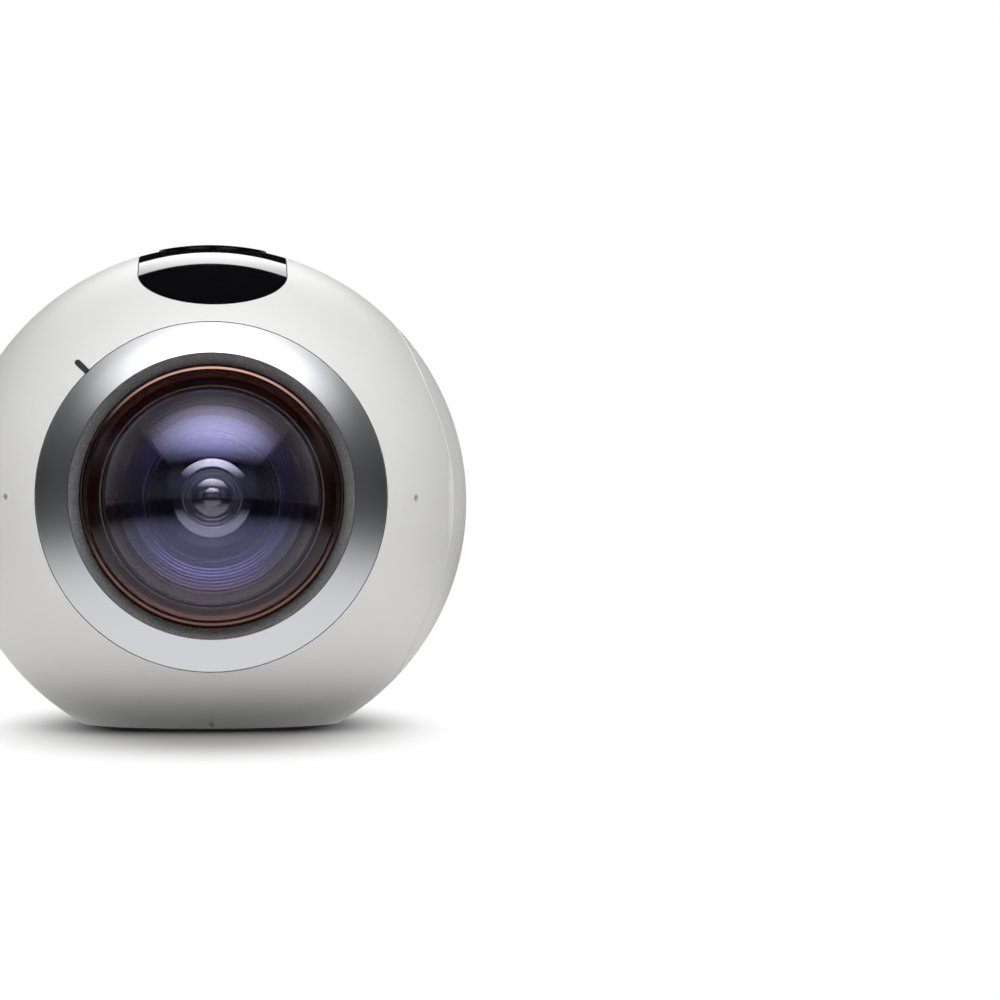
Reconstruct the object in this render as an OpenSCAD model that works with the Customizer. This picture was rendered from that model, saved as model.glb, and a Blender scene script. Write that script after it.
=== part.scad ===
// 360 degree camera: a white ball with a dome lens at the front and one at the back.
// The front lens looks along -Y, the battery door is on +X and the foot stands on Z = 0.
// All sizes are in millimetres. Places inside the ball are measured from its middle.

/* [Housing] */
// Outer radius of the ball
body_r = 30; // [29:0.5:34]
// Wall of the two housing halves
wall = 1.8; // [1.5:0.1:2.2]
// Width of the housing's flat underside around the rubber foot
base_rim = 1.05; // [0.9:0.05:1.4]
// Thickness of the flat floor of the housing
floor_t = 2.6; // [2.3:0.1:3.2]
// Width of the fine groove where the two halves meet
seam_w = 0.24; // [0.1:0.02:0.4]
// Depth of that groove
seam_d = 0.16; // [0.1:0.02:0.3]

/* [Lens bezel] */
// Outer radius of the silver bezel ring
bezel_r = 19.3; // [18.9:0.1:20]
// Inner radius of the silver bezel ring
bezel_in_r = 15.8; // [15.5:0.1:16.4]
// Height of the bezel ring from its seat to its inner rim
bezel_h = 5.6; // [5.2:0.1:6.2]
// How far the bezel's outer edge lies under the ball's surface
bezel_sink = 0.12; // [0:0.02:0.3]
// Thickness of the flange in the housing that carries the lens
flange_t = 1; // [0.8:0.1:1.2]
// Width of the textured retainer ring
retainer_w = 1.2; // [1:0.1:1.4]
// How far the retainer ring falls towards the glass
retainer_fall = 0.8; // [0.4:0.1:1.2]

/* [Lens glass] */
// Height of the dome's top above the bezel's inner rim
dome_rise = 7.85; // [7:0.05:8.5]
// Radius of curvature of the dome
dome_curve_r = 16.65; // [16:0.05:18]
// Thickness of the dome at its top
dome_t = 2.1; // [1.6:0.1:2.6]
// Radius of curvature of the dome's hollow side
dome_hollow_r = 13.2; // [12.6:0.1:13.8]
// Depth of the dome's ground edge under the bezel's inner rim
dome_base_drop = 3.6; // [3.4:0.1:4]
// Width of the copper-brown ring under the dome
seat_ring_w = 2; // [1.6:0.1:2.4]
// Thickness of the copper-brown ring
seat_ring_t = 0.95; // [0.8:0.05:1.2]
// Radius of the second lens
second_r = 10.4; // [9.8:0.1:10.9]
// Radius of curvature of the second lens
second_curve_r = 14.9; // [14:0.1:16]
// Gap between the dome and the second lens on their axis
second_gap = 2.2; // [1.9:0.1:2.8]
// Radius of the inner lens
inner_lens_r = 6.8; // [6.2:0.1:7]
// Radius of curvature of both sides of the inner lens
inner_curve_r = 12; // [11:0.5:14]
// Edge thickness of the inner lens
inner_edge_t = 1.2; // [0.8:0.1:1.6]

/* [Lens barrel] */
// Radius of the barrel's mounting flange
barrel_flange_r = 18.9; // [18.6:0.1:19.2]
// Thickness of the barrel's mounting flange
barrel_flange_t = 1.55; // [1.2:0.05:1.8]
// Radius of the barrel's rear part
barrel_rear_r = 12.5; // [11.5:0.1:13]
// Side of the square image sensor
sensor_s = 9.6; // [8:0.2:10]
// Thickness of the image sensor
sensor_t = 0.9; // [0.6:0.1:1.2]
// Side of the square sensor board
sensor_board_s = 19; // [18:0.5:20]
// Thickness of every circuit board
board_t = 1; // [0.8:0.1:1.2]
// Number of screws in each lens
lens_screws_n = 4; // [3:1:6]
// Radius of a lens screw's head
lens_screw_head_r = 1.1; // [0.9:0.05:1.2]
// Radius of a lens screw's shank
lens_screw_r = 0.6; // [0.5:0.05:0.7]

/* [Marks on the front] */
// Length of the indicator light's slot that shows beside the bezel ring
light_l = 2; // [1.6:0.1:2.4]
// Width of the indicator light's slot
light_w = 0.7; // [0.5:0.05:0.9]
// Direction of the indicator light as seen from the front
light_angle = 135; // [120:1:150]
// Depth of the indicator light's guide
light_d = 1.4; // [1:0.1:1.8]
// Radius of the microphone holes
mic_hole_r = 0.4; // [0.3:0.05:0.5]
// Angle of the microphone holes from the side towards the lens
mic_angle = 40.5; // [39:0.5:41.5]
// Radius of a microphone capsule
mic_r = 0.9; // [0.7:0.05:1]
// Length of the alignment groove above the foot
groove_l = 1.9; // [1.4:0.1:2.2]
// Width of the alignment groove above the foot
groove_w = 0.45; // [0.3:0.05:0.6]
// Depth of the alignment groove above the foot
groove_d = 0.4; // [0.2:0.05:0.6]
// Angle of the alignment groove below the lens axis
groove_angle = 57.2; // [54:0.2:57.6]

/* [Top panel] */
// Width of the black top panel
panel_w = 17; // [16:0.2:18]
// Length of the black top panel, end to end
panel_l = 29.8; // [28:0.2:31]
// Forward tilt of the top panel
panel_tilt = 14.7; // [12:0.1:16]
// Thickness of the top panel
window_t = 1.2; // [1:0.05:1.3]
// Width of the ledge that carries the top panel
panel_ledge = 1; // [0.8:0.1:1.1]
// Radius of the round OK button
ok_r = 6.3; // [6:0.1:6.4]
// How far the OK button stands above the panel
ok_proud = 0.2; // [0.1:0.05:0.4]
// Travel of the OK button
ok_travel = 0.4; // [0.2:0.05:0.5]
// Width of the OK button's hidden rim
ok_rim_w = 0.7; // [0.5:0.05:0.8]
// Width of the display
display_w = 12; // [10:0.5:13]
// Length of the display up the slope of the panel
display_l = 8; // [6:0.5:9]
// Thickness of the display
display_t = 1.3; // [1:0.1:1.6]
// Height of the OK switch
ok_switch_h = 1.5; // [1.2:0.1:1.8]
// Radius of the OK switch
ok_switch_r = 2; // [1.5:0.1:2.5]

/* [Side buttons] */
// Radius of the menu and power buttons
side_r = 3; // [2.6:0.1:3.4]
// Distance between the menu and power buttons
side_pitch = 11; // [10:0.2:12]
// Travel of the side buttons
side_travel = 0.4; // [0.2:0.05:0.5]
// How far the side buttons stand above the ball
side_proud = 0.15; // [0.05:0.05:0.3]
// Half the width of the board behind the side buttons
side_board_y = 4.5; // [4:0.1:5]
// Height of the side switches
side_switch_h = 0.6; // [0.5:0.05:0.8]

/* [Battery door] */
// Width of the door
door_w = 23.7; // [23:0.1:24.4]
// Height of the door
door_h = 43; // [41:0.5:44]
// Thickness of the door's curved skin
door_lip = 0.8; // [0.6:0.05:0.9]
// Gap around and under the door
door_gap = 0.25; // [0.2:0.01:0.3]
// Width of the ledge under the door's edge
door_ledge = 1.2; // [1:0.1:1.5]
// Thickness of the door's inner plate
door_plate_t = 0.8; // [0.6:0.1:1]
// Width of the door's rubber seal
door_seal_w = 0.9; // [0.7:0.05:1]
// Width of the rubber strap that hinges the door
strap_w = 10; // [8:0.5:14]
// Thickness of the rubber strap
strap_t = 0.65; // [0.5:0.05:0.8]
// Depth of the strap's root in the rear housing
strap_root = 0.6; // [0.4:0.05:0.9]
// Height of the finger notch beside the door
notch_h = 9.6; // [8:0.2:11]
// Width of the finger notch beside the door
notch_w = 1.3; // [1:0.1:1.6]
// Depth of the finger notch
notch_d = 0.9; // [0.6:0.1:1.1]

/* [Battery bay] */
// Width of the battery, from lens to lens
battery_w = 17; // [16:0.2:18]
// Height of the battery
battery_h = 22; // [20:0.5:22.5]
// Depth of the battery
battery_d = 20; // [17:0.5:22]
// Height of the battery's underside from the middle of the ball
battery_z = -4.8; // [-5.4:0.1:-4.6]
// Play around the battery
battery_gap = 0.2; // [0.1:0.05:0.3]
// Side wall of the battery bay
bay_wall = 1.6; // [1.2:0.1:1.8]
// Depth of the bay's face under the ball's side
bay_recess = 7; // [6.6:0.1:7.6]
// Travel of the battery latch
latch_travel = 1; // [0.8:0.1:1.2]
// How far the latch holds over the battery
latch_hold = 0.7; // [0.5:0.1:0.7]
// Width of the latch
latch_w = 6; // [4:0.5:8]
// Width of the memory card
card_w = 11; // [10:0.5:12]
// Length of the memory card
card_l = 15; // [13:0.5:16]
// Thickness of the memory card
card_t = 0.8; // [0.7:0.05:1]
// Travel of the memory card when it is pushed
card_travel = 0.8; // [0.5:0.1:1]
// Width of the charging port
usb_w = 7.5; // [6.8:0.1:8]
// Height of the charging port
usb_h = 2.6; // [2.4:0.1:2.8]

/* [Foot] */
// Inner radius of the rubber foot
foot_in_r = 9; // [8.4:0.1:9.6]
// Outer radius of the rubber foot
foot_r = 14; // [13.6:0.1:14.2]
// Thickness of the rubber foot
foot_t = 0.9; // [0.7:0.05:1]
// How far the rubber foot stands out of the housing
foot_lift = 0.25; // [0.1:0.05:0.3]
// Wall radius of the tripod thread, the core of a quarter-inch thread
socket_bore_r = 2.6; // [2.5:0.05:2.7]
// Outer radius of the tripod socket
socket_r = 5.5; // [5:0.1:5.8]
// Flange radius of the tripod socket
socket_flange_r = 7; // [6.4:0.1:7.2]
// Thickness of the chassis plate
chassis_t = 3.1; // [2.6:0.1:3.2]

/* [Clearances] */
// Fit between pieces that are seated in each other
fit = 0.05; // [0.03:0.01:0.08]
// Clearance around moving buttons
button_gap = 0.15; // [0.1:0.01:0.2]

/* [Hidden] */
$fn = 220;
big = 3 * body_r;
inner_r = body_r - wall;
floor_top = foot_lift + floor_t;
chassis_top = floor_top + chassis_t;
base_r = foot_r + base_rim;
centre_h = foot_lift + sqrt(pow(body_r, 2) - pow(base_r, 2));
over = 1;

// Sensor places, behind each side wall of the battery bay
flex_w = 6;
flex_t = 0.15;
flex_tail = 2;
bay_y = battery_w / 2 + battery_gap + bay_wall;
sensor_board_a = bay_y + 2 * flex_t;
sensor_a = sensor_board_a + board_t;
sensor_top_a = sensor_a + sensor_t;

// Lens places along its axis, from the middle of the ball outwards
lens_a = sqrt(pow(body_r, 2) - pow(bezel_in_r, 2));
seat_a = lens_a - bezel_h;
flange_back_a = seat_a - flange_t;
retainer_r = bezel_in_r - fit;
retainer_in_r = retainer_r - retainer_w;
dome_r = retainer_in_r - 4 * fit;
dome_top_a = lens_a + dome_rise;
dome_base_a = lens_a - dome_base_drop;
dome_hollow_a = dome_top_a - dome_t - dome_hollow_r;
barrel_r = bezel_in_r - 3 * fit;
barrel_pocket_r = dome_r + 2 * fit;
barrel_rim_a = dome_base_a + 0.6;
barrel_flange_a = flange_back_a - fit - barrel_flange_t;
seat_ring_a = dome_base_a - fit - seat_ring_t;
dome_seal_w = 0.7;
dome_seal_t = 0.65;
second_top_a = dome_top_a - dome_t - second_gap;
second_base_a = seat_ring_a - fit;
second_rim_w = 2.6;
second_hollow_r = 9;
second_hollow_a = second_base_a - sqrt(pow(second_hollow_r, 2) - pow(second_r - second_rim_w, 2));
inner_sag = inner_curve_r - sqrt(pow(inner_curve_r, 2) - pow(inner_lens_r, 2));
inner_share = 0.545;
inner_base_a = sensor_top_a + inner_share * (second_base_a - sensor_top_a);
lens_screw_ring_r = (barrel_r + min(bezel_r, barrel_flange_r)) / 2;
lens_screw_head_h = 0.9;
lens_screw_room = 0.2;
bezel_wall = 0.3;

// Battery bay places
bay_face_x = body_r - bay_recess;
battery_top_z = battery_z + battery_h;
battery_seat = 0.6;
battery_face_x = sqrt(pow(inner_r, 2) - pow(battery_w / 2, 2) - pow(battery_top_z, 2)) - battery_seat;
battery_back_x = battery_face_x - battery_d;
bay_back_wall = 1.4;
bay_back_x = battery_back_x - battery_gap - bay_back_wall;
bay_rib = 0.6;
latch_h = 1.9;
latch_t = 1.3;
latch_play = 0.15;
latch_top_z = battery_z + latch_hold;
latch_room_z = latch_top_z - latch_h - latch_travel - latch_play;
reader_wall = 0.4;
card_play = 0.15;
reader_w = card_w + 2 * (card_play + reader_wall);
reader_h = card_t + 2 * (card_play + reader_wall);
reader_top_z = latch_room_z - bay_rib;
reader_d = card_l + card_travel + 1;
card_z = reader_top_z - reader_h / 2;
card_inset = 0.4;
card_back_x = bay_face_x - card_inset - card_l;
usb_top_z = reader_top_z - reader_h - bay_rib;
usb_d = 5.5;
usb_wall = 0.3;
bay_lift = 3.3;
bay_bottom_z = chassis_top + bay_lift - centre_h;
bay_roof = 1.2;
bay_top_z = battery_top_z + battery_gap + bay_roof;
main_board_x = bay_back_x - board_t;
main_board_y = bay_y - 0.7;
shield_s = 14;
shield_t = 2.2;
contact_w = 1.6;
contact_h = 2.4;
contact_pitch = 4;

// Top panel places
panel_half_angle = asin(panel_l / 2 / body_r);
window_in_r = body_r - window_t;
panel_seat_r = window_in_r - fit;
panel_gap = 0.1;
ok_y = body_r * sin(panel_half_angle - panel_tilt) - panel_w / 2;
ok_rim_r = ok_r + ok_rim_w;
ok_rim_t = 0.6;
ok_rim_z = sqrt(pow(window_in_r, 2) - pow(abs(ok_y) + ok_rim_r, 2)) - button_gap;
ok_wall = 1;
ok_stem_r = 1.3;
ok_stem_l = 1.1;
ok_stem_z = ok_rim_z - ok_rim_t - ok_stem_l;
ok_switch_z = ok_stem_z - ok_travel - button_gap;
top_board_z = ok_switch_z - ok_switch_h;
boss_r = 1.4;
boss_out = panel_w / 2 + boss_r + 0.2;
boss_x = boss_out * cos(45);
boss_y = ok_y + boss_out * sin(45);
top_board_front = 5;
display_front_angle = panel_half_angle + panel_tilt;
display_back_angle = asin((ok_r + button_gap - ok_y) / body_r);
display_tilt = (display_front_angle + display_back_angle) / 2;
display_top = sqrt(pow(window_in_r, 2) - pow(display_w / 2, 2) - pow(display_l / 2, 2)) - fit;

// Side button places
side_rim_w = 0.5;
side_rim_t = 0.5;
side_rim_r = side_r + side_rim_w;
side_rim_x = sqrt(pow(inner_r, 2) - pow(side_pitch / 2 + side_rim_r, 2)) - button_gap;
side_switch_x = side_rim_x - side_rim_t - side_travel - button_gap;
side_board_x = side_switch_x - side_switch_h;
side_board_z = sqrt(pow(inner_r, 2) - pow(side_board_x, 2) - pow(side_board_y, 2)) - button_gap;
side_switch_r = 2;

// Speaker and microphone places
speaker_r = 4.5;
speaker_t = 2.2;
speaker_turn = 20;
speaker_drop = 32;
speaker_hole_r = 0.45;
speaker_hole_pitch = 2;
speaker_top = sqrt(pow(inner_r, 2) - pow(speaker_r, 2)) - 4 * fit;
mic_t = 1;
mic_top = inner_r - 6 * fit;

// Door places
door_seat_r = body_r - door_lip - door_gap;
door_plate_x = bay_face_x + 0.45;
door_plate_top_x = door_plate_x + door_plate_t;
door_skin_r = body_r - door_lip;
seal_edge = 0.3;
seal_h = 2 * (sqrt(pow(door_skin_r, 2) - pow(door_plate_top_x, 2)) - seal_edge);
seal_w = door_w - 2 * (door_ledge + 1.05);
seal_lead = 0.2;
seal_depth = door_plate_t + seal_lead + 0.3;
door_rib_w = 1;

// Foot places
foot_fit = 0.05;
foot_screw_ring_r = (foot_in_r + foot_r) / 2;
foot_screw_head_r = 1.3;
foot_screw_head_h = 0.8;
foot_screw_r = 0.7;
foot_screw_l = 2.4;
foot_head_z = foot_t + foot_fit + foot_screw_head_h;
chassis_r = foot_r + 0.8;
chassis_wall = 1.5;
chassis_wall_l = 13;
socket_flange_t = 1;
socket_mouth = 0.6;
socket_end_t = 0.7;

housing_white = "#f1f1ef";
silver = "#c9cacc";
glass_blue = "#b9bfd8";
copper = "#6b5246";
black = "#17171a";
graphite = "#4a4b4e";
board_green = "#2f5a43";
steel = "#b5b6b8";

// Moves a shape from the middle of the ball to its place above the foot
module centred() translate([0, 0, centre_h]) children();

// Sphere about the middle of the ball, with its poles at the two lenses
module ball(r) rotate([90, 0, 0]) rotate(-90) sphere(r);

// Turns a shape drawn along Z to the front lens, or to the rear lens with turn = 180
module lens_axis(turn) centred() rotate([90, 0, turn]) children();

// Stands a flat outline (y, z) up so that it is extruded along +X
module along_x(x0, length) translate([x0, 0, 0]) rotate([90, 0, 90]) linear_extrude(length) children();

// Outline with two half-round ends, longer along its second side
module stadium(w, h) {
    square([w, h - w], center = true);
    for (side = [-1, 1])
        translate([0, side * (h - w) / 2]) circle(d = w);
}

// Outline of a rectangle with rounded corners
module rounded_rect(w, h, r) {
    square([w - 2 * r, h], center = true);
    square([w, h - 2 * r], center = true);
    for (i = [-1, 1], j = [-1, 1])
        translate([i * (w / 2 - r), j * (h / 2 - r)]) circle(r);
}

// Flat ring or disc drawn along Z
module ring(r_out, r_in, z0, h) {
    difference() {
        translate([0, 0, z0]) cylinder(r = r_out, h = h);
        translate([0, 0, z0 - over]) cylinder(r = r_in, h = h + 2 * over);
    }
}

// Box given by its low corner and its high corner
module box(low, high) translate(low) cube(high - low);

// Everything above a height over the standing plane, in the ball's own frame
module above(z) box([-big, -big, z - centre_h], [big, big, big]);

// The half of space that a housing half fills
module half_space(turn) {
    if (turn == 0)
        box([-big, -big, -big], [big, 0, big]);
    else
        box([-big, 0, -big], [big, big, big]);
}

// Prism of the top panel, drawn smaller by inset
module panel_prism(inset) {
    rotate([panel_tilt, 0, 0])
        translate([0, 0, body_r / 3])
        linear_extrude(body_r) stadium(panel_w - 2 * inset, panel_l - 2 * inset);
}

// Prism of the battery door, drawn smaller by inset
module door_prism(inset) {
    along_x(body_r / 3, body_r) stadium(door_w - 2 * inset, door_h - 2 * inset);
}

// Hole for the top panel and the ledge that it lies on
module panel_opening() {
    difference() {
        panel_prism(0);
        ball(panel_seat_r);
    }
    panel_prism(panel_ledge);
}

// Hole for the battery door, the ledge under it and the finger notch
module door_opening() {
    difference() {
        door_prism(0);
        ball(door_seat_r);
    }
    door_prism(door_ledge);
    difference() {
        along_x(body_r / 2, body_r) polygon([
            [0, -notch_h / 2],
            [0, notch_h / 2],
            [-door_w / 2, notch_h / 2],
            [-door_w / 2 - notch_w, notch_h / 2 - notch_w],
            [-door_w / 2 - notch_w, notch_w - notch_h / 2],
            [-door_w / 2, -notch_h / 2]
        ]);
        ball(body_r - notch_d);
    }
    intersection() {
        box([body_r / 2, 0, -strap_w / 2 - door_gap],
            [body_r, door_w / 2 + strap_root, strap_w / 2 + door_gap]);
        ball(door_skin_r);
    }
}

// Places the menu button with side = 1 and the power button with side = -1, drawn along Z
module side_button_place(side) {
    translate([0, 0, side * side_pitch / 2]) rotate([0, -90, 0]) rotate(45) children();
}

// Places each lens screw, drawn along the lens axis
module lens_screw_places() {
    for (i = [0 : lens_screws_n - 1])
        rotate(360 / lens_screws_n * (i + 0.5))
            translate([lens_screw_ring_r, 0, 0]) children();
}

// Room for the heads of the lens screws
module lens_screw_rooms() {
    translate([0, 0, seat_a - fit]) lens_screw_places()
        cylinder(r = lens_screw_head_r + fit / 2, h = lens_screw_head_h + lens_screw_room + fit);
}

// Places each foot screw, drawn along Z
module foot_screw_places() {
    for (i = [0 : 3])
        rotate(90 * (i + 0.5)) translate([foot_screw_ring_r, 0, 0]) children();
}

// Points an outline drawn along Z out of the ball through the speaker
module speaker_place() rotate([0, 0, -speaker_turn]) rotate([0, -90 - speaker_drop, 0]) children();

// Points a shape drawn along Z out of the ball through a microphone hole
module mic_place(side, turn) {
    rotate([0, 0, turn + side * mic_angle]) rotate([0, -side * 90, 0]) children();
}

// The four microphone capsules, drawn larger by clear
module mic_capsules(clear) {
    for (side = [-1, 1], turn = [0, 180])
        mic_place(side, turn) translate([0, 0, mic_top - mic_t - clear])
            cylinder(r = mic_r + clear, h = mic_t + 2 * clear);
}

// Slot of the indicator light, drawn smaller by inset, with one end under the bezel ring
module light_slot(inset, depth) {
    slot_r = bezel_r + light_l / 2;
    slot_a = sqrt(pow(body_r, 2) - pow(slot_r, 2));
    rotate(light_angle)
        translate([slot_r - light_w / 2, 0, slot_a - depth])
        linear_extrude(body_r)
        rotate(90) stadium(light_w - 2 * inset, light_l + light_w - 2 * inset);
}

// Short upright groove at the front, just above the foot
module alignment_groove() {
    rotate([90 + groove_angle, 0, 0])
        translate([0, 0, body_r - groove_d])
        linear_extrude(body_r) square([groove_w, groove_l], center = true);
}

// Spherical shell of one half with its openings
module housing_shell(turn) {
    difference() {
        intersection() {
            ball(body_r);
            half_space(turn);
            above(foot_lift);
        }
        intersection() {
            ball(inner_r);
            above(floor_top);
        }
        panel_opening();
        door_opening();
        for (side = [-1, 1])
            side_button_place(side) cylinder(r = side_r + button_gap, h = big);
        rotate([90, 0, turn]) translate([0, 0, seat_a]) cylinder(r = bezel_r + 2 * fit, h = big);
        rotate([90, 0, 0]) ring(body_r + seam_d, body_r - seam_d, -seam_w / 2, seam_w);
    }
}

// Flange that carries the lens barrel from behind and the bezel ring from the front
module lens_flange(turn) {
    rotate([90, 0, turn]) intersection() {
        ring(body_r, barrel_r + 3 * fit, flange_back_a, flange_t);
        ball(inner_r + wall / 3);
    }
}

// Two short posts under the shell that hold the board of the OK switch
module top_board_bosses() {
    intersection() {
        for (side = [-1, 1])
            translate([side * boss_x, boss_y, top_board_z]) cylinder(r = boss_r, h = body_r);
        ball(inner_r + wall / 3);
    }
}

// Half of the housing with its flange, holes and foot groove
module housing_half(turn) {
    color(housing_white) centred() difference() {
        union() {
            housing_shell(turn);
            lens_flange(turn);
            if (turn == 180)
                top_board_bosses();
        }
        rotate([90, 0, turn]) {
            translate([0, 0, flange_back_a - 1])
                lens_screw_places() cylinder(r = lens_screw_r + 2 * fit, h = flange_t + 1.5);
            light_slot(0, light_d);
        }
        for (side = [-1, 1])
            mic_place(side, turn) translate([0, 0, body_r / 2]) cylinder(r = mic_hole_r, h = body_r);
        if (turn == 0)
            alignment_groove();
        if (turn == 180)
            speaker_place() for (p = [[0, 0], [1, 0], [-1, 0], [0, 1], [0, -1]])
                translate([p.x * speaker_hole_pitch, p.y * speaker_hole_pitch, body_r / 2])
                    cylinder(r = speaker_hole_r, h = body_r);
        translate([0, 0, -centre_h]) {
            ring(foot_r + foot_fit, foot_in_r - foot_fit, -1, foot_t + foot_fit + 1);
            cylinder(r = socket_r + 2 * fit, h = floor_top + 1);
            foot_screw_places() {
                cylinder(r = foot_screw_r + 2 * fit, h = floor_top + 1);
                cylinder(r = foot_screw_head_r + 2 * fit, h = foot_head_z);
            }
        }
    }
}

module front_housing() housing_half(0);
module rear_housing() housing_half(180);

// Silver bevelled ring with a groove behind it that clears the screw heads
module bezel_ring(turn) {
    edge_a = sqrt(pow(body_r, 2) - pow(bezel_r, 2)) - bezel_sink;
    groove_top = seat_a + lens_screw_head_h + lens_screw_room;
    rim = 0.15;
    color(silver) lens_axis(turn) difference() {
        rotate_extrude() polygon([
            [bezel_in_r, seat_a],
            [bezel_in_r, lens_a - rim],
            [bezel_in_r + rim, lens_a],
            [bezel_r - rim, edge_a],
            [bezel_r, edge_a - rim],
            [bezel_r, seat_a],
            [bezel_r - bezel_wall, seat_a],
            [bezel_r - bezel_wall, groove_top],
            [bezel_in_r + bezel_wall, groove_top],
            [bezel_in_r + bezel_wall, seat_a]
        ]);
        lens_screw_rooms();
    }
}

// Dark textured ring that clamps the dome
module retainer_ring(turn) {
    seal_top = barrel_rim_a + dome_seal_t + fit;
    step_r = retainer_in_r + dome_seal_w + fit;
    color(graphite) lens_axis(turn) rotate_extrude() polygon([
        [retainer_in_r, seal_top],
        [retainer_in_r, lens_a - retainer_fall - 0.1],
        [retainer_r, lens_a - 0.1],
        [retainer_r, barrel_rim_a + fit],
        [step_r, barrel_rim_a + fit],
        [step_r, seal_top]
    ]);
}

// Flat rubber ring between the barrel, the dome and the retainer ring
module dome_seal(turn) {
    color(black) lens_axis(turn)
        ring(retainer_in_r + dome_seal_w, dome_r + fit, barrel_rim_a, dome_seal_t);
}

// Outer glass dome, a thick meniscus with a ground edge
module dome_lens(turn) {
    color(glass_blue, 0.4) lens_axis(turn) difference() {
        intersection() {
            translate([0, 0, dome_top_a - dome_curve_r]) sphere(dome_curve_r);
            translate([0, 0, dome_base_a]) cylinder(r = dome_r, h = body_r);
        }
        translate([0, 0, dome_hollow_a]) sphere(dome_hollow_r);
    }
}

// Copper-brown ring that shows through the rim of the dome
module lens_seat(turn) {
    color(copper) lens_axis(turn)
        ring(barrel_pocket_r - fit, barrel_pocket_r - fit - seat_ring_w, seat_ring_a, seat_ring_t);
}

// Second lens, a meniscus that nests in the dome
module second_lens(turn) {
    color(glass_blue, 0.4) lens_axis(turn) difference() {
        intersection() {
            translate([0, 0, second_top_a - second_curve_r]) sphere(second_curve_r);
            translate([0, 0, second_base_a]) cylinder(r = second_r, h = body_r);
        }
        translate([0, 0, second_hollow_a]) sphere(second_hollow_r);
    }
}

// Inner lens, round on both sides
module inner_lens(turn) {
    front_middle = inner_base_a + inner_edge_t + inner_sag - inner_curve_r;
    back_middle = inner_base_a - inner_sag + inner_curve_r;
    color(glass_blue, 0.4) lens_axis(turn) intersection() {
        translate([0, 0, front_middle]) sphere(inner_curve_r);
        translate([0, 0, back_middle]) sphere(inner_curve_r);
        translate([0, 0, inner_base_a - inner_sag - 1]) cylinder(r = inner_lens_r, h = body_r / 2);
    }
}

// Black stepped barrel that holds the glass and stands on the sensor board
module lens_barrel(turn) {
    second_shelf_r = second_r - second_rim_w + 0.2;
    inner_shelf_a = inner_base_a - fit;
    inner_shelf_r = inner_lens_r - 1.2;
    inner_shelf_fall = sqrt(pow(inner_curve_r, 2) - pow(inner_shelf_r, 2)) - inner_curve_r + inner_sag + fit;
    sensor_room_r = sensor_s * sqrt(0.5) + 0.5;
    sensor_room_a = sensor_a + sensor_t + 1;
    color(black) difference() {
        lens_axis(turn) rotate_extrude() polygon([
            [sensor_room_r, sensor_a],
            [barrel_rear_r, sensor_a],
            [barrel_rear_r, barrel_flange_a],
            [barrel_flange_r, barrel_flange_a],
            [barrel_flange_r, barrel_flange_a + barrel_flange_t],
            [barrel_r, barrel_flange_a + barrel_flange_t],
            [barrel_r, barrel_rim_a],
            [barrel_pocket_r, barrel_rim_a],
            [barrel_pocket_r, seat_ring_a],
            [second_r + fit, seat_ring_a],
            [second_r + fit, second_base_a - fit],
            [second_shelf_r, second_base_a - fit],
            [second_shelf_r, inner_base_a + inner_edge_t + 1],
            [inner_lens_r + fit, inner_base_a + inner_edge_t + 0.4],
            [inner_lens_r + fit, inner_shelf_a],
            [inner_shelf_r, inner_shelf_a - inner_shelf_fall],
            [inner_shelf_r, sensor_room_a + 0.6],
            [sensor_room_r, sensor_room_a]
        ]);
        lens_axis(turn) translate([0, 0, barrel_flange_a - over])
            lens_screw_places() cylinder(r = lens_screw_r + fit, h = barrel_flange_t + 1.5 * over);
        lens_axis(turn) lens_screw_rooms();
        centred() mic_capsules(fit);
    }
}

module image_sensor(turn) {
    color(black) lens_axis(turn) translate([0, 0, sensor_a])
        linear_extrude(sensor_t) square(sensor_s, center = true);
}

module sensor_board(turn) {
    color(board_green) lens_axis(turn) translate([0, 0, sensor_board_a])
        linear_extrude(board_t) square(sensor_board_s, center = true);
}

// Flexible circuit from the sensor board to the main board
module sensor_flex(side) {
    board_face = side * sensor_board_a;
    fold = side * (sensor_board_a - flex_t);
    tail = side * (main_board_y - flex_tail);
    color("#b0762f") centred() {
        box([-sensor_board_s / 2, min(board_face, fold), -flex_w / 2],
            [main_board_x, max(board_face, fold), flex_w / 2]);
        box([main_board_x - flex_t, min(tail, fold), -flex_w / 2],
            [main_board_x, max(tail, fold), flex_w / 2]);
    }
}

// Dark light guide in its slot beside the bezel
module light_guide(turn) {
    color(graphite) lens_axis(turn) difference() {
        intersection() {
            light_slot(fit, light_d - fit);
            ball(body_r - fit);
        }
        cylinder(r = bezel_r + 3 * fit, h = body_r);
    }
}

// Lens screws, hidden under the bezel ring
module lens_screws(turn) {
    color(steel) lens_axis(turn) lens_screw_places() {
        translate([0, 0, seat_a]) cylinder(r = lens_screw_head_r, h = lens_screw_head_h);
        translate([0, 0, barrel_flange_a + 0.2]) cylinder(r = lens_screw_r, h = seat_a - barrel_flange_a);
    }
}

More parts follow.
